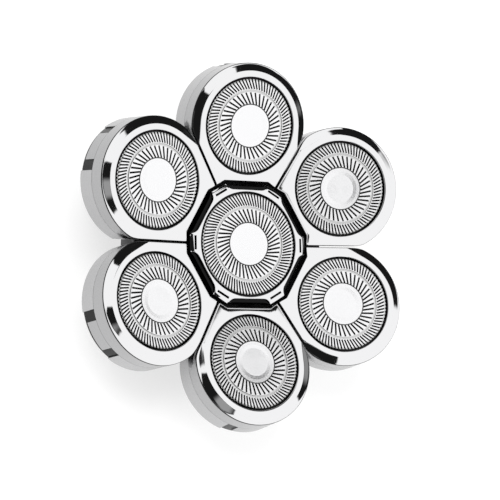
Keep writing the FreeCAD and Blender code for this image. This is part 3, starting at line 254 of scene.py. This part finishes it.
def cap_section(angle):
    """Section of the cap, from the lip up the opening, over land and bevel, down the wall and back inside."""
    rim = cap_reach(angle)
    tongue = angle_from_front(angle) < TONGUE_HALF_ANGLE
    crease = min(land_edge(angle), rim - 0.35)
    points = lip_corners(INSIDE, OPENING) + rounded_opening(OPENING, OPENING_ROUNDING, 4)
    points += [(OPENING + 0.3, 0.0), ((OPENING + crease) / 2, 0.0)]
    for step, sink in ((-CREASE_REACH, 0.0), (0.0, CREASE_SINK), (CREASE_REACH, CREASE_SINK)):
        points.append((crease + step, -cap_drop(angle, crease + step) - sink))
    inner = rim - CAP_ROUNDING
    for share in (0.35, 0.7):
        across = crease + (inner - crease) * share
        points.append((across, -cap_drop(angle, across)))
    top = cap_drop(angle, inner)
    for turn in quarter(4):
        fall = CAP_ROUNDING * (1 - math.cos(turn)) * 1.15
        points.append((inner + CAP_ROUNDING * math.sin(turn), -top - fall))
    points += [(cap_reach(angle, height), height) for height in WALL_HEIGHTS]
    base = PARTING - TONGUE_LENGTH if tongue else PARTING
    edge = cap_reach(angle, PARTING)
    inside = RECESS_FLOOR + 0.03 if tongue else min(FOOT, rim - 0.5)
    points += [(edge, base + CAP_CHAMFER), (edge - CAP_CHAMFER, base), (inside, base)]
    points += [(inside, PARTING + 0.02), (INSIDE, PARTING + 0.02)]
    return points


def lip_corners(inside, opening):
    """The lip's lower corners, from the inside to the opening."""
    return [(inside, -LIP - LIP_CHAMFER), (opening + 0.03, -LIP - LIP_CHAMFER), (opening, -LIP)]


def rounded_opening(opening, rounding, steps):
    """The rounded upper edge of an opening, from its wall to the flat face."""
    return [(opening + rounding * (1 - math.cos(turn)), -rounding * (1 - math.sin(turn)))
            for turn in quarter(steps)]


def quarter(steps):
    """Angles of a quarter turn in equal steps, both ends included."""
    return [math.pi / 2 * step / steps for step in range(steps + 1)]


def cap_angles():
    """Finely spaced directions, with doubled ones at the sides of the tongue."""
    angles = [index * 1.5 for index in range(240)]
    angles = [angle for angle in angles if abs(angle_from_front(angle) - TONGUE_HALF_ANGLE) > 0.7]
    for side in (TONGUE_HALF_ANGLE - 0.02, TONGUE_HALF_ANGLE + 0.02):
        angles += [side, 360.0 - side]
    return sorted(angles)


# The shell of an outer head

def shell_mesh(source, azimuth):
    """The shell's own mesh in its head's frame, with a shallower recess behind the snap tongue."""
    form = bmesh.new()
    form.from_mesh(source.data)
    bmesh.ops.remove_doubles(form, verts=form.verts, dist=1e-6)
    back = (Matrix.Scale(MM, 4) @ head_matrix(azimuth)).inverted()
    for vert in form.verts:
        vert.co = back @ vert.co
        radius = math.hypot(vert.co.x, vert.co.y)
        if vert.co.x > 8.5 and abs(radius - (RIM - RECESS_DEPTH)) < 0.03:
            vert.co.x *= RECESS_FLOOR / radius
            vert.co.y *= RECESS_FLOOR / radius
    mesh = bpy.data.meshes.new("shell")
    form.to_mesh(mesh)
    form.free()
    return mesh


# The centre ring

def ring_reach(angle, band):
    """Distance from the middle to the outside of the centre ring: six cut-off ears, hollows between them."""
    near = CENTRE_OPENING + band
    turn = (angle + 30.0) % 60.0 - 30.0
    ear = EAR_REACH / math.cos(math.radians(turn))
    ahead = EAR_REACH * COS_FLANK + EAR_HALF_WIDTH * SIN_FLANK
    across = EAR_REACH * SIN_FLANK - EAR_HALF_WIDTH * COS_FLANK
    straight = across * HOLLOW_SHARE
    depth, width = ahead - near, across - straight
    radius = (depth * depth + width * width) / (2 * depth)
    off = math.radians(30.0 - abs(turn))
    if near * math.tan(off) <= straight:
        return near / math.cos(off)
    middle = Vector((near + radius, straight))
    along = middle.dot(Vector((math.cos(off), math.sin(off))))
    under = along ** 2 - middle.length_squared + radius ** 2
    hollow = along - math.sqrt(under) if under > 0 else FAR
    return soft_least(ear, hollow, 0.05)


def ring_drop(radius):
    """Fall of an ear's top: nearly flat by the opening, rounding down to its end."""
    along = max(0.0, radius - CENTRE_OPENING - CENTRE_BAND)
    return along * 0.12 + max(0.0, along - 1.05) ** 2 * 0.5


def ring_section(angle):
    """Closed section of the centre ring, from the lip over the ear or band, down its step and back inside."""
    rim = ring_reach(angle, CENTRE_BAND)
    step = ring_reach(angle, CENTRE_BAND + CENTRE_STEP)
    inner = rim - RING_ROUNDING
    start = CENTRE_OPENING + 0.14
    points = lip_corners(CENTRE_POCKET, CENTRE_OPENING)
    points += rounded_opening(CENTRE_OPENING, RING_OPENING_ROUNDING, 3)
    for share in (0.1, 0.3, 0.5, 0.62, 0.74, 0.86):
        across = start + (inner - start) * share
        points.append((across, -ring_drop(across)))
    top = ring_drop(inner)
    for turn in quarter(4):
        points.append((inner + RING_ROUNDING * math.sin(turn), -top - RING_ROUNDING * (1 - math.cos(turn))))
    points += [(rim, -0.55), (step - 0.03, -0.56), (step, -STEP_DROP), (step, RING_MIDDLE)]
    points += [(step, RING_CHAMFER - CENTRE_DEPTH), (step - RING_CHAMFER, -CENTRE_DEPTH)]
    points += [(CENTRE_POCKET, -CENTRE_DEPTH), (CENTRE_POCKET, RING_MIDDLE)]
    return points


def ear_slots():
    """Six narrow blocks, one for the slot across each ear."""
    form = bmesh.new()
    width, length, depth = EAR_SLOT
    for index in range(HEADS):
        turn = Matrix.Rotation(math.radians(60.0 * index), 4, "Z")
        spot = turn @ Matrix.Translation((EAR_REACH - EAR_SLOT_INSET, 0.0, 0.5 - depth / 2))
        block = Matrix.Diagonal((width, length, depth + 1.0, 1.0))
        bmesh.ops.create_cube(form, size=1.0, matrix=spot @ block)
    mesh = bpy.data.meshes.new("ear_slots")
    form.to_mesh(mesh)
    form.free()
    return mesh


# Materials

class Graph:
    """Adds nodes to one node tree and joins them up."""

    def __init__(self, tree):
        self.nodes = tree.nodes
        self.links = tree.links

    def put(self, kind, **settings):
        """A new shader node of this kind."""
        node = self.nodes.new("ShaderNode" + kind)
        for name, value in settings.items():
            setattr(node, name, value)
        return node

    def feed(self, socket, value):
        """Joins a socket's output to the socket, or sets it to a plain value."""
        if isinstance(value, bpy.types.NodeSocket):
            self.links.new(value, socket)
        else:
            socket.default_value = value

    def math(self, operation, first, second=0.0, clamp=False):
        """One step of arithmetic with one or two values."""
        node = self.put("Math", operation=operation, use_clamp=clamp)
        self.feed(node.inputs[0], first)
        self.feed(node.inputs[1], second)
        return node.outputs[0]

    def scaled(self, value, low, high):
        """Spreads a value of 0 to 1 between two limits."""
        node = self.put("MapRange")
        self.feed(node.inputs["Value"], value)
        node.inputs["To Min"].default_value = low
        node.inputs["To Max"].default_value = high
        return node.outputs[0]

    def tint(self, mask, plain, masked):
        """Mixes two greys or colours by a mask."""
        node = self.put("Mix", data_type="RGBA")
        self.feed(node.inputs[0], mask)
        self.feed(node.inputs[6], plain)
        self.feed(node.inputs[7], masked)
        return node.outputs[2]

    def blend(self, mask, plain, masked):
        """Mixes two values by a mask."""
        node = self.put("Mix", data_type="FLOAT")
        self.feed(node.inputs[0], mask)
        self.feed(node.inputs[2], plain)
        self.feed(node.inputs[3], masked)
        return node.outputs[0]

    def group(self, tree, **values):
        """The outputs of a node group that is fed these values."""
        node = self.put("Group", node_tree=tree)
        for name, value in values.items():
            self.feed(node.inputs[name], value)
        return node.outputs

    def bump(self, height, depth):
        """A bumpy normal, its depth in millimetres."""
        node = self.put("Bump")
        node.inputs["Strength"].default_value = 1.0
        node.inputs["Distance"].default_value = depth * MM
        self.feed(node.inputs["Height"], height)
        return node.outputs[0]


def new_tree(name, takes, gives):
    """A shader node group with named inputs and outputs."""
    tree = bpy.data.node_groups.new(name, "ShaderNodeTree")
    for socket, kind in takes:
        tree.interface.new_socket(socket, in_out="INPUT", socket_type="NodeSocket" + kind)
    for socket, kind in gives:
        tree.interface.new_socket(socket, in_out="OUTPUT", socket_type="NodeSocket" + kind)
    source = tree.nodes.new("NodeGroupInput")
    target = tree.nodes.new("NodeGroupOutput")
    return tree, Graph(tree), source.outputs, target.inputs


def zone_tree():
    """1 where a value lies between two limits, falling off softly beyond them."""
    takes = [(name, "Float") for name in ("Value", "Low", "High", "Soft")]
    tree, graph, source, target = new_tree("zone", takes, (("Mask", "Float"),))
    above = graph.math("SUBTRACT", source["Value"], source["Low"])
    below = graph.math("SUBTRACT", source["High"], source["Value"])
    near = graph.math("MINIMUM", above, below)
    share = graph.math("DIVIDE", near, source["Soft"])
    graph.feed(target["Mask"], graph.math("ADD", share, 0.5, clamp=True))
    return tree


def turned_tree():
    """Fine circular lines that a lathe or a polishing wheel leaves, and the soft blotches of handling."""
    tree, graph, source, target = new_tree(
        "turned_lines", (("Place", "Vector"), ("Radius", "Float"), ("Fineness", "Float")),
        (("Lines", "Float"), ("Blotches", "Float")))
    lines = graph.put("TexNoise", noise_dimensions="1D")
    graph.feed(lines.inputs["W"], graph.math("MULTIPLY", source["Radius"], source["Fineness"]))
    lines.inputs["Scale"].default_value = 1.0
    lines.inputs["Detail"].default_value = 3.0
    blotches = graph.put("TexNoise")
    graph.feed(blotches.inputs["Vector"], source["Place"])
    blotches.inputs["Scale"].default_value = 0.35
    blotches.inputs["Detail"].default_value = 4.0
    graph.feed(target["Lines"], lines.outputs["Fac"])
    graph.feed(target["Blotches"], blotches.outputs["Fac"])
    return tree


def grain_tree():
    """The fine grain of a moulding tool, with a broader unevenness."""
    tree, graph, source, target = new_tree(
        "moulded_grain", (("Place", "Vector"), ("Fineness", "Float")),
        (("Grain", "Float"), ("Unevenness", "Float")))
    for name, factor, detail in (("Grain", 1.0, 5.0), ("Unevenness", 0.06, 2.0)):
        noise = graph.put("TexNoise")
        graph.feed(noise.inputs["Vector"], source["Place"])
        graph.feed(noise.inputs["Scale"], graph.math("MULTIPLY", source["Fineness"], factor))
        noise.inputs["Detail"].default_value = detail
        graph.feed(target[name], noise.outputs["Fac"])
    return tree


ZONE = zone_tree()
TURNED = turned_tree()
GRAIN = grain_tree()


def grey(value, blue=0.0):
    """A grey with a share more blue."""
    return (value, value, value * (1.0 + blue), 1.0)


def new_material(name):
    """A material with its node adder and its shader."""
    material = bpy.data.materials.new(name)
    material.use_nodes = True
    return material, Graph(material.node_tree), material.node_tree.nodes["Principled BSDF"]


class HeadView:
    """What a material needs to know about a point of a head, in that head's own frame and in millimetres."""

    def __init__(self, graph, azimuth):
        self.graph = graph
        coordinates = graph.put("TexCoord")
        place = graph.put("Mapping", vector_type="TEXTURE")
        facing = graph.put("Mapping", vector_type="TEXTURE")
        matrix = CENTRE_MATRIX if azimuth is None else head_matrix(azimuth)
        place.inputs["Location"].default_value = matrix.translation * MM
        place.inputs["Scale"].default_value = (MM, MM, MM)
        for node in (place, facing):
            node.inputs["Rotation"].default_value = matrix.to_euler()
        graph.links.new(coordinates.outputs["Object"], place.inputs["Vector"])
        graph.links.new(coordinates.outputs["Normal"], facing.inputs["Vector"])
        self.place = place.outputs[0]
        parts = graph.put("SeparateXYZ")
        graph.links.new(self.place, parts.inputs[0])
        self.ahead, _, self.height = parts.outputs
        level = graph.put("VectorMath", operation="MULTIPLY")
        graph.links.new(self.place, level.inputs[0])
        level.inputs[1].default_value = (1.0, 1.0, 0.0)
        length = graph.put("VectorMath", operation="LENGTH")
        graph.links.new(level.outputs[0], length.inputs[0])
        self.radius = length.outputs["Value"]
        faces = graph.put("SeparateXYZ")
        graph.links.new(facing.outputs[0], faces.inputs[0])
        self.upward = faces.outputs[2]

    def zone(self, value, low, high, soft):
        """1 where a value lies between two limits."""
        return self.graph.group(ZONE, Value=value, Low=low, High=high, Soft=soft)["Mask"]

    def ring(self, low, high, soft=0.04):
        """1 between two distances from the head's axis."""
        return self.zone(self.radius, low, high, soft)

    def layer(self, low, high, soft=0.04):
        """1 between two heights."""
        return self.zone(self.height, low, high, soft)

    def side(self):
        """1 on faces that look sideways or down."""
        return self.zone(self.upward, -2.0, 0.5, 0.3)

    def both(self, *masks):
        """1 where all the masks are."""
        mask = masks[0]
        for other in masks[1:]:
            mask = self.graph.math("MULTIPLY", mask, other)
        return mask

    def either(self, first, second):
        """1 where either mask is."""
        return self.graph.math("MAXIMUM", first, second)


# Where the duller wall starts, and how light its painted shade is: the wall is rougher satin and also painted
# darker as shade.
CAP_WALL_SHADE = (-0.78, 0.38)
RING_WALL_SHADE = (-0.45, 0.012)


def chrome(name, azimuth, opening, wall_top, wall_shade_value):
    """Bright plating: a mirror on top; painted dark reflection on rounded edges, painted shade on the duller
    walls and black round the foil.
    """
    material, graph, shader = new_material(name)
    view = HeadView(graph, azimuth)
    marks = graph.group(TURNED, Place=view.place, Radius=view.radius, Fineness=9.0)
    # Painted shade: the opening's wall down round the foil is coloured near black.
    gap = view.both(view.ring(0.0, opening + 0.06), view.layer(-9.0, -0.1))
    # Painted dark reflection: bevels and rounded edges that tilt away from overhead are coloured near black.
    edge = view.both(view.zone(view.upward, -2.0, 0.88, 0.05), view.ring(opening + 0.4, FAR))
    # Below wall_top the wall is a rougher satin finish, and its colour is painted darker as shade.
    wall = view.layer(-9.0, wall_top, 0.06)
    # Painted shade: a darker line along the parting seam between cap and shell.
    parting_shade = view.layer(PARTING - 0.02, PARTING + 0.07, 0.03)
    colour = graph.tint(edge, grey(0.74, 0.01), grey(0.03))
    colour = graph.tint(wall, colour, grey(wall_shade_value, 0.01))
    colour = graph.tint(view.both(parting_shade, wall), colour, grey(wall_shade_value * 0.4))
    graph.feed(shader.inputs["Base Color"], graph.tint(gap, colour, grey(0.02)))
    shader.inputs["Metallic"].default_value = 1.0
    polish = graph.scaled(marks["Blotches"], 0.02, 0.06)
    graph.feed(shader.inputs["Roughness"], graph.blend(wall, polish, 0.24))
    graph.feed(shader.inputs["Normal"], graph.bump(marks["Blotches"], 0.004))
    return material


def satin(name, azimuth):
    """Satin plating of a shell, with painted black shade in the recess behind the snap tongue and inside."""
    material, graph, shader = new_material(name)
    view = HeadView(graph, azimuth)
    marks = graph.group(TURNED, Place=view.place, Radius=view.height, Fineness=30.0)
    # Painted shade: the inside and the recess behind the snap tongue are coloured near black.
    inside = view.zone(view.radius, -1.0, INSIDE + 0.1, 0.05)
    recess = view.both(view.ring(INSIDE, RIM - 0.12), view.zone(view.ahead, 8.0, 20.0, 0.1))
    colour = graph.tint(view.either(inside, recess), grey(0.43, 0.01), grey(0.02))
    graph.feed(shader.inputs["Base Color"], colour)
    shader.inputs["Metallic"].default_value = 1.0
    graph.feed(shader.inputs["Roughness"], graph.scaled(marks["Lines"], 0.22, 0.36))
    graph.feed(shader.inputs["Normal"], graph.bump(marks["Lines"], 0.002))
    return material


def foil_steel(name, azimuth, edge, shift):
    """Satin foil with turned lines: painted shade in the slots, round the disc and down the skirt, and a grey
    band.
    """
    material, graph, shader = new_material(name)
    view = HeadView(graph, azimuth)
    marks = graph.group(TURNED, Place=view.place, Radius=view.radius, Fineness=14.0)
    # Painted shade: the side walls of the slots are coloured near black.
    slots = view.both(view.side(), view.ring(DISC_EDGE[0] + 0.1, edge - 0.1))
    # Painted shade: the skirt below the foil's face is coloured near black.
    skirt = view.both(view.ring(edge - 0.04, edge + 3.0), view.layer(-9.0, -0.1))
    sunk = view.layer(-0.3, -0.045, 0.03)
    # Painted shade: the sunk ring round the middle disc is coloured near black.
    outline = view.both(sunk, view.ring(*DISC_EDGE))
    band_start = FOIL_EDGE * BAND_SHARE + shift
    band = view.ring(band_start - 0.08, band_start + 0.44, 0.06)
    colour = graph.tint(view.ring(edge - 0.3, edge, 0.1), grey(0.82, 0.01), grey(0.55))
    colour = graph.tint(band, colour, grey(0.68))
    colour = graph.tint(view.both(sunk, band), colour, grey(0.56))
    colour = graph.tint(outline, colour, grey(0.06))
    colour = graph.tint(view.either(slots, skirt), colour, grey(0.015))
    graph.feed(shader.inputs["Base Color"], colour)
    shader.inputs["Metallic"].default_value = 1.0
    graph.feed(shader.inputs["Roughness"], graph.scaled(marks["Lines"], 0.14, 0.26))
    graph.feed(shader.inputs["Normal"], graph.bump(marks["Lines"], 0.003))
    return material


def steel(name, value, low, high, fineness):
    """Ground or drawn steel."""
    material, graph, shader = new_material(name)
    coordinates = graph.put("TexCoord")
    marks = graph.group(GRAIN, Place=coordinates.outputs["Object"], Fineness=fineness)
    colour = graph.tint(marks["Unevenness"], grey(value * 0.8), grey(value * 1.15))
    graph.feed(shader.inputs["Base Color"], colour)
    shader.inputs["Metallic"].default_value = 1.0
    graph.feed(shader.inputs["Roughness"], graph.scaled(marks["Grain"], low, high))
    graph.feed(shader.inputs["Normal"], graph.bump(marks["Grain"], 0.004))
    return material


def plastic(name, colour, low, high, fineness, depth):
    """Moulded plastic with the grain of its tool."""
    material, graph, shader = new_material(name)
    coordinates = graph.put("TexCoord")
    marks = graph.group(GRAIN, Place=coordinates.outputs["Object"], Fineness=fineness)
    darker = tuple(value * 0.86 for value in colour)
    graph.feed(shader.inputs["Base Color"], graph.tint(marks["Unevenness"], (*darker, 1.0), (*colour, 1.0)))
    graph.feed(shader.inputs["Roughness"], graph.scaled(marks["Grain"], low, high))
    graph.feed(shader.inputs["Normal"], graph.bump(marks["Grain"], depth))
    return material


CUTTER = steel("cutter_steel", 0.06, 0.35, 0.5, 4000.0)
SPRING = steel("spring_steel", 0.5, 0.2, 0.35, 5000.0)
SCREW = steel("screw_steel", 0.5, 0.25, 0.4, 3000.0)
BLACK = plastic("black_plastic", (0.012, 0.012, 0.013), 0.38, 0.55, 5000.0, 0.012)
COLLAR = plastic("collar_plastic", (0.02, 0.02, 0.021), 0.4, 0.6, 3500.0, 0.02)
HUB = plastic("hub_plastic", (0.05, 0.05, 0.052), 0.4, 0.55, 5000.0, 0.006)
ACETAL = plastic("acetal", (0.72, 0.71, 0.67), 0.35, 0.5, 4000.0, 0.004)


def head_azimuth(name):
    """The azimuth of the head that a numbered node belongs to."""
    return AZIMUTHS[int(name.rsplit("_", 1)[-1]) - 1]


# The start of a node's name with its finish; the first that fits is taken.
PLAIN_FINISHES = (
    ("cutter_hub", HUB),
    ("cutter", CUTTER),
    ("centre_cutter_hub", HUB),
    ("centre_cutter", CUTTER),
    ("planet_gear", ACETAL),
    ("sun_gear", ACETAL),
    ("spindle", ACETAL),
    ("centre_spindle", ACETAL),
    ("spring", SPRING),
    ("centre_spring", SPRING),
    ("centre_holder", BLACK),
    ("gearbox", BLACK),
    ("connector", COLLAR),
    ("cover_screws", SCREW),
)


def finish_of(name):
    """The material of a piece that is shown as the frame has it, or None."""
    if name.startswith("foil"):
        return foil_steel(name + "_steel", head_azimuth(name), FOIL_EDGE, 0.0)
    if name == "centre_foil":
        return foil_steel("centre_foil_steel", None, CENTRE_FOIL_EDGE, CENTRE_SLOT_STEP)
    return next((finish for start, finish in PLAIN_FINISHES if name.startswith(start)), None)


def soften_edges(obj, width):
    """Small moulded radii on the edges of a piece."""
    obj.modifiers.new("joined", "WELD").merge_threshold = 1e-6
    bevel = obj.modifiers.new("edges", "BEVEL")
    bevel.width = width * MM
    bevel.segments = 2
    bevel.limit_method = "ANGLE"
    bevel.angle_limit = math.radians(40.0)
    bevel.harden_normals = True


def dress_frame():
    """Finishes for the pieces that are shown as the frame has them."""
    moulded = ("gearbox", "connector", "centre_holder")
    for name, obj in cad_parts.items():
        material = finish_of(name)
        if material is None:
            continue
        obj.data.materials.clear()
        obj.data.materials.append(material)
        if name.startswith(moulded):
            soften_edges(obj, 0.06)
        else:
            obj.modifiers.new("edges", "EDGE_SPLIT").split_angle = math.radians(28.0)
        for polygon in obj.data.polygons:
            polygon.use_smooth = True


# Build

dress_frame()
cap_mesh = loop_surface("cap", cap_angles(), cap_section)
shell_form = shell_mesh(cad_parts["shell_1"], AZIMUTHS[0])
for number, azimuth in enumerate(AZIMUTHS, start=1):
    matrix = head_matrix(azimuth)
    body = "head_%d" % number
    plating = satin("shell_%d_satin" % number, azimuth)
    shell = "shell_look_%d" % number
    shade(place(shell, shell_form, matrix, body, "satin_chrome", plating, "shell_%d" % number))
    plating = chrome("cap_%d_chrome" % number, azimuth, OPENING, *CAP_WALL_SHADE)
    shade(place("cap_look_%d" % number, cap_mesh, matrix, body, "chrome", plating, "cap_%d" % number))
ring_mesh = cut_out(loop_surface("ring", [index * 0.75 for index in range(480)], ring_section), ear_slots())
plating = chrome("centre_ring_chrome", None, CENTRE_OPENING, *RING_WALL_SHADE)
shade(place("centre_ring_look", ring_mesh, CENTRE_MATRIX, "centre_head", "chrome", plating, "centre_ring"))


# Stage, light and camera

def make_floor():
    """A pale light table."""
    form = bmesh.new()
    bmesh.ops.create_grid(form, x_segments=1, y_segments=1, size=3.0)
    mesh = bpy.data.meshes.new("floor")
    form.to_mesh(mesh)
    form.free()
    floor = bpy.data.objects.new("floor", mesh)
    bpy.context.scene.collection.objects.link(floor)
    material, _, shader = new_material("floor")
    shader.inputs["Base Color"].default_value = (0.32, 0.32, 0.32, 1.0)
    shader.inputs["Roughness"].default_value = 0.9
    shader.inputs["Specular IOR Level"].default_value = 0.0
    shader.inputs["Emission Color"].default_value = (1.0, 1.0, 1.0, 1.0)
    shader.inputs["Emission Strength"].default_value = 0.7
    mesh.materials.append(material)


# What places a card in the sky.
CARD_PLACE = ("Middle X", "Middle Y", "Turn", "Half X", "Half Y", "Softness")


def card_tree():
    """Mask of a straight-edged light card in the sky's flat map of degrees from overhead."""
    takes = [("Sky", "Vector")] + [(name, "Float") for name in CARD_PLACE]
    tree, graph, source, target = new_tree("card", takes, (("Mask", "Float"),))
    middle = graph.put("CombineXYZ")
    graph.feed(middle.inputs[0], source["Middle X"])
    graph.feed(middle.inputs[1], source["Middle Y"])
    offset = graph.put("VectorMath", operation="SUBTRACT")
    graph.feed(offset.inputs[0], source["Sky"])
    graph.feed(offset.inputs[1], middle.outputs[0])
    spin = graph.put("VectorRotate", rotation_type="Z_AXIS")
    graph.feed(spin.inputs["Vector"], offset.outputs[0])
    graph.feed(spin.inputs["Angle"], source["Turn"])
    parts = graph.put("SeparateXYZ")
    graph.feed(parts.inputs[0], spin.outputs[0])
    sides = []
    for away, half in ((parts.outputs[0], "Half X"), (parts.outputs[1], "Half Y")):
        inside = graph.math("SUBTRACT", source[half], graph.math("ABSOLUTE", away))
        edge = graph.put("MapRange", interpolation_type="SMOOTHSTEP")
        graph.feed(edge.inputs["Value"], inside)
        graph.feed(edge.inputs["From Max"], source["Softness"])
        sides.append(edge.outputs[0])
    graph.feed(target["Mask"], graph.math("MULTIPLY", *sides))
    return tree


# Cards of light: middle along X and Y, turn, half sizes in degrees from overhead, softness, brightness.
# A card without brightness is a dark one in front of those before it.
CARDS = (
    (34.0, -17.2, 0.0, 29.0, 43.8, 1.5, 1.5),
    (50.0, -38.0, 0.0, 28.0, 24.0, 1.5, 1.5),
    (66.7, 29.7, -36.0, 20.0, 30.0, 3.0, 0.0),
    (-2.0, 26.0, 20.0, 14.0, 17.0, 1.5, 1.5),
    (74.0, 22.0, 0.0, 9.0, 20.0, 8.0, 0.4),
    (-3.0, -11.0, 0.0, 9.0, 9.0, 5.0, 0.5),
)
# The dark part of the sky round the cards: its middle, and where it fades to the paler low sky.
DARK_MIDDLE = (27.0, -6.0, 0.0)
DARK_FADE = (58.0, 70.0, 0.015, 0.75)


def sky_map(graph):
    """A direction of the sky as degrees from overhead along X and along Y."""
    coordinates = graph.put("TexCoord")
    parts = graph.put("SeparateXYZ")
    graph.feed(parts.inputs[0], coordinates.outputs["Generated"])
    level = graph.put("CombineXYZ")
    graph.feed(level.inputs[0], parts.outputs[0])
    graph.feed(level.inputs[1], parts.outputs[1])
    way = graph.put("VectorMath", operation="NORMALIZE")
    graph.feed(way.inputs[0], level.outputs[0])
    sky = graph.put("VectorMath", operation="SCALE")
    graph.feed(sky.inputs[0], way.outputs[0])
    graph.feed(sky.inputs["Scale"], graph.math("DEGREES", graph.math("ARCCOSINE", parts.outputs[2])))
    return sky.outputs[0]


def low_sky(graph, sky):
    """Brightness between the cards: dark round them, paler far from them and low down."""
    away = graph.put("VectorMath", operation="DISTANCE")
    graph.feed(away.inputs[0], sky)
    away.inputs[1].default_value = DARK_MIDDLE
    low = graph.put("MapRange", interpolation_type="SMOOTHSTEP")
    graph.feed(low.inputs["Value"], away.outputs["Value"])
    for name, value in zip(("From Min", "From Max", "To Min", "To Max"), DARK_FADE):
        low.inputs[name].default_value = value
    return low.outputs[0]


def make_sky():
    """A dark studio with large cards of light over a paler low sky, painted straight on the sky."""
    world = bpy.data.worlds.new("studio")
    bpy.context.scene.world = world
    world.use_nodes = True
    world.node_tree.nodes.clear()
    graph = Graph(world.node_tree)
    sky = sky_map(graph)
    cards = card_tree()
    light = 0.0
    for card in CARDS:
        place_of = dict(zip(CARD_PLACE, card))
        place_of["Turn"] = math.radians(place_of["Turn"])
        mask = graph.group(cards, Sky=sky, **place_of)["Mask"]
        brightness = card[-1]
        if brightness:
            light = graph.math("MAXIMUM", light, graph.math("MULTIPLY", mask, brightness))
        else:
            light = graph.math("MULTIPLY", light, graph.math("SUBTRACT", 1.0, mask))
    background = graph.put("Background")
    graph.feed(background.inputs["Strength"], graph.math("MAXIMUM", light, low_sky(graph, sky)))
    output = graph.put("OutputWorld")
    graph.feed(output.inputs[0], background.outputs[0])


def add_lamp(name, place_at, size, power):
    """A soft lamp that lights the floor and the plastics but isn't mirrored in the chrome."""
    data = bpy.data.lights.new(name, "AREA")
    data.shape = "DISK"
    data.size = size
    data.energy = power
    lamp = bpy.data.objects.new(name, data)
    bpy.context.scene.collection.objects.link(lamp)
    lamp.location = place_at
    lamp.rotation_mode = "QUATERNION"
    lamp.rotation_quaternion = Vector(place_at).to_track_quat("Z", "Y")
    lamp.visible_glossy = False
    lamp.visible_camera = False


# The camera: lens, turns about X, Y and Z in degrees, and its place in its own frame over the centre face.
CAMERA_LENS = 137.8
CAMERA_TURNS = (("X", -6.28), ("Y", 27.24), ("Z", 1.32))
CAMERA_SPOT = (0.19, -1.07, 339.9)


def make_camera():
    """The photograph's own viewing angle and lens, found from the heads' outlines."""
    data = bpy.data.cameras.new("camera")
    data.lens = CAMERA_LENS
    data.sensor_width = 36.0
    camera = bpy.data.objects.new("camera", data)
    bpy.context.scene.collection.objects.link(camera)
    turn = Matrix.Identity(3)
    for axis, degrees in CAMERA_TURNS:
        turn = turn @ Matrix.Rotation(math.radians(degrees), 3, axis)
    back = turn.transposed()
    spot = back @ Vector(CAMERA_SPOT) + Vector((0.0, 0.0, HEAD_PLANE))
    camera.matrix_world = Matrix.Translation(spot * MM) @ back.to_4x4()
    data.clip_start = 0.01
    data.clip_end = 20.0
    bpy.context.scene.camera = camera


make_floor()
make_sky()
add_lamp("key", (-0.5, 0.5, 1.1), 0.7, 16.0)
add_lamp("fill", (0.7, -0.3, 1.0), 1.0, 8.0)
make_camera()
bpy.context.scene.view_settings.view_transform = "Standard"
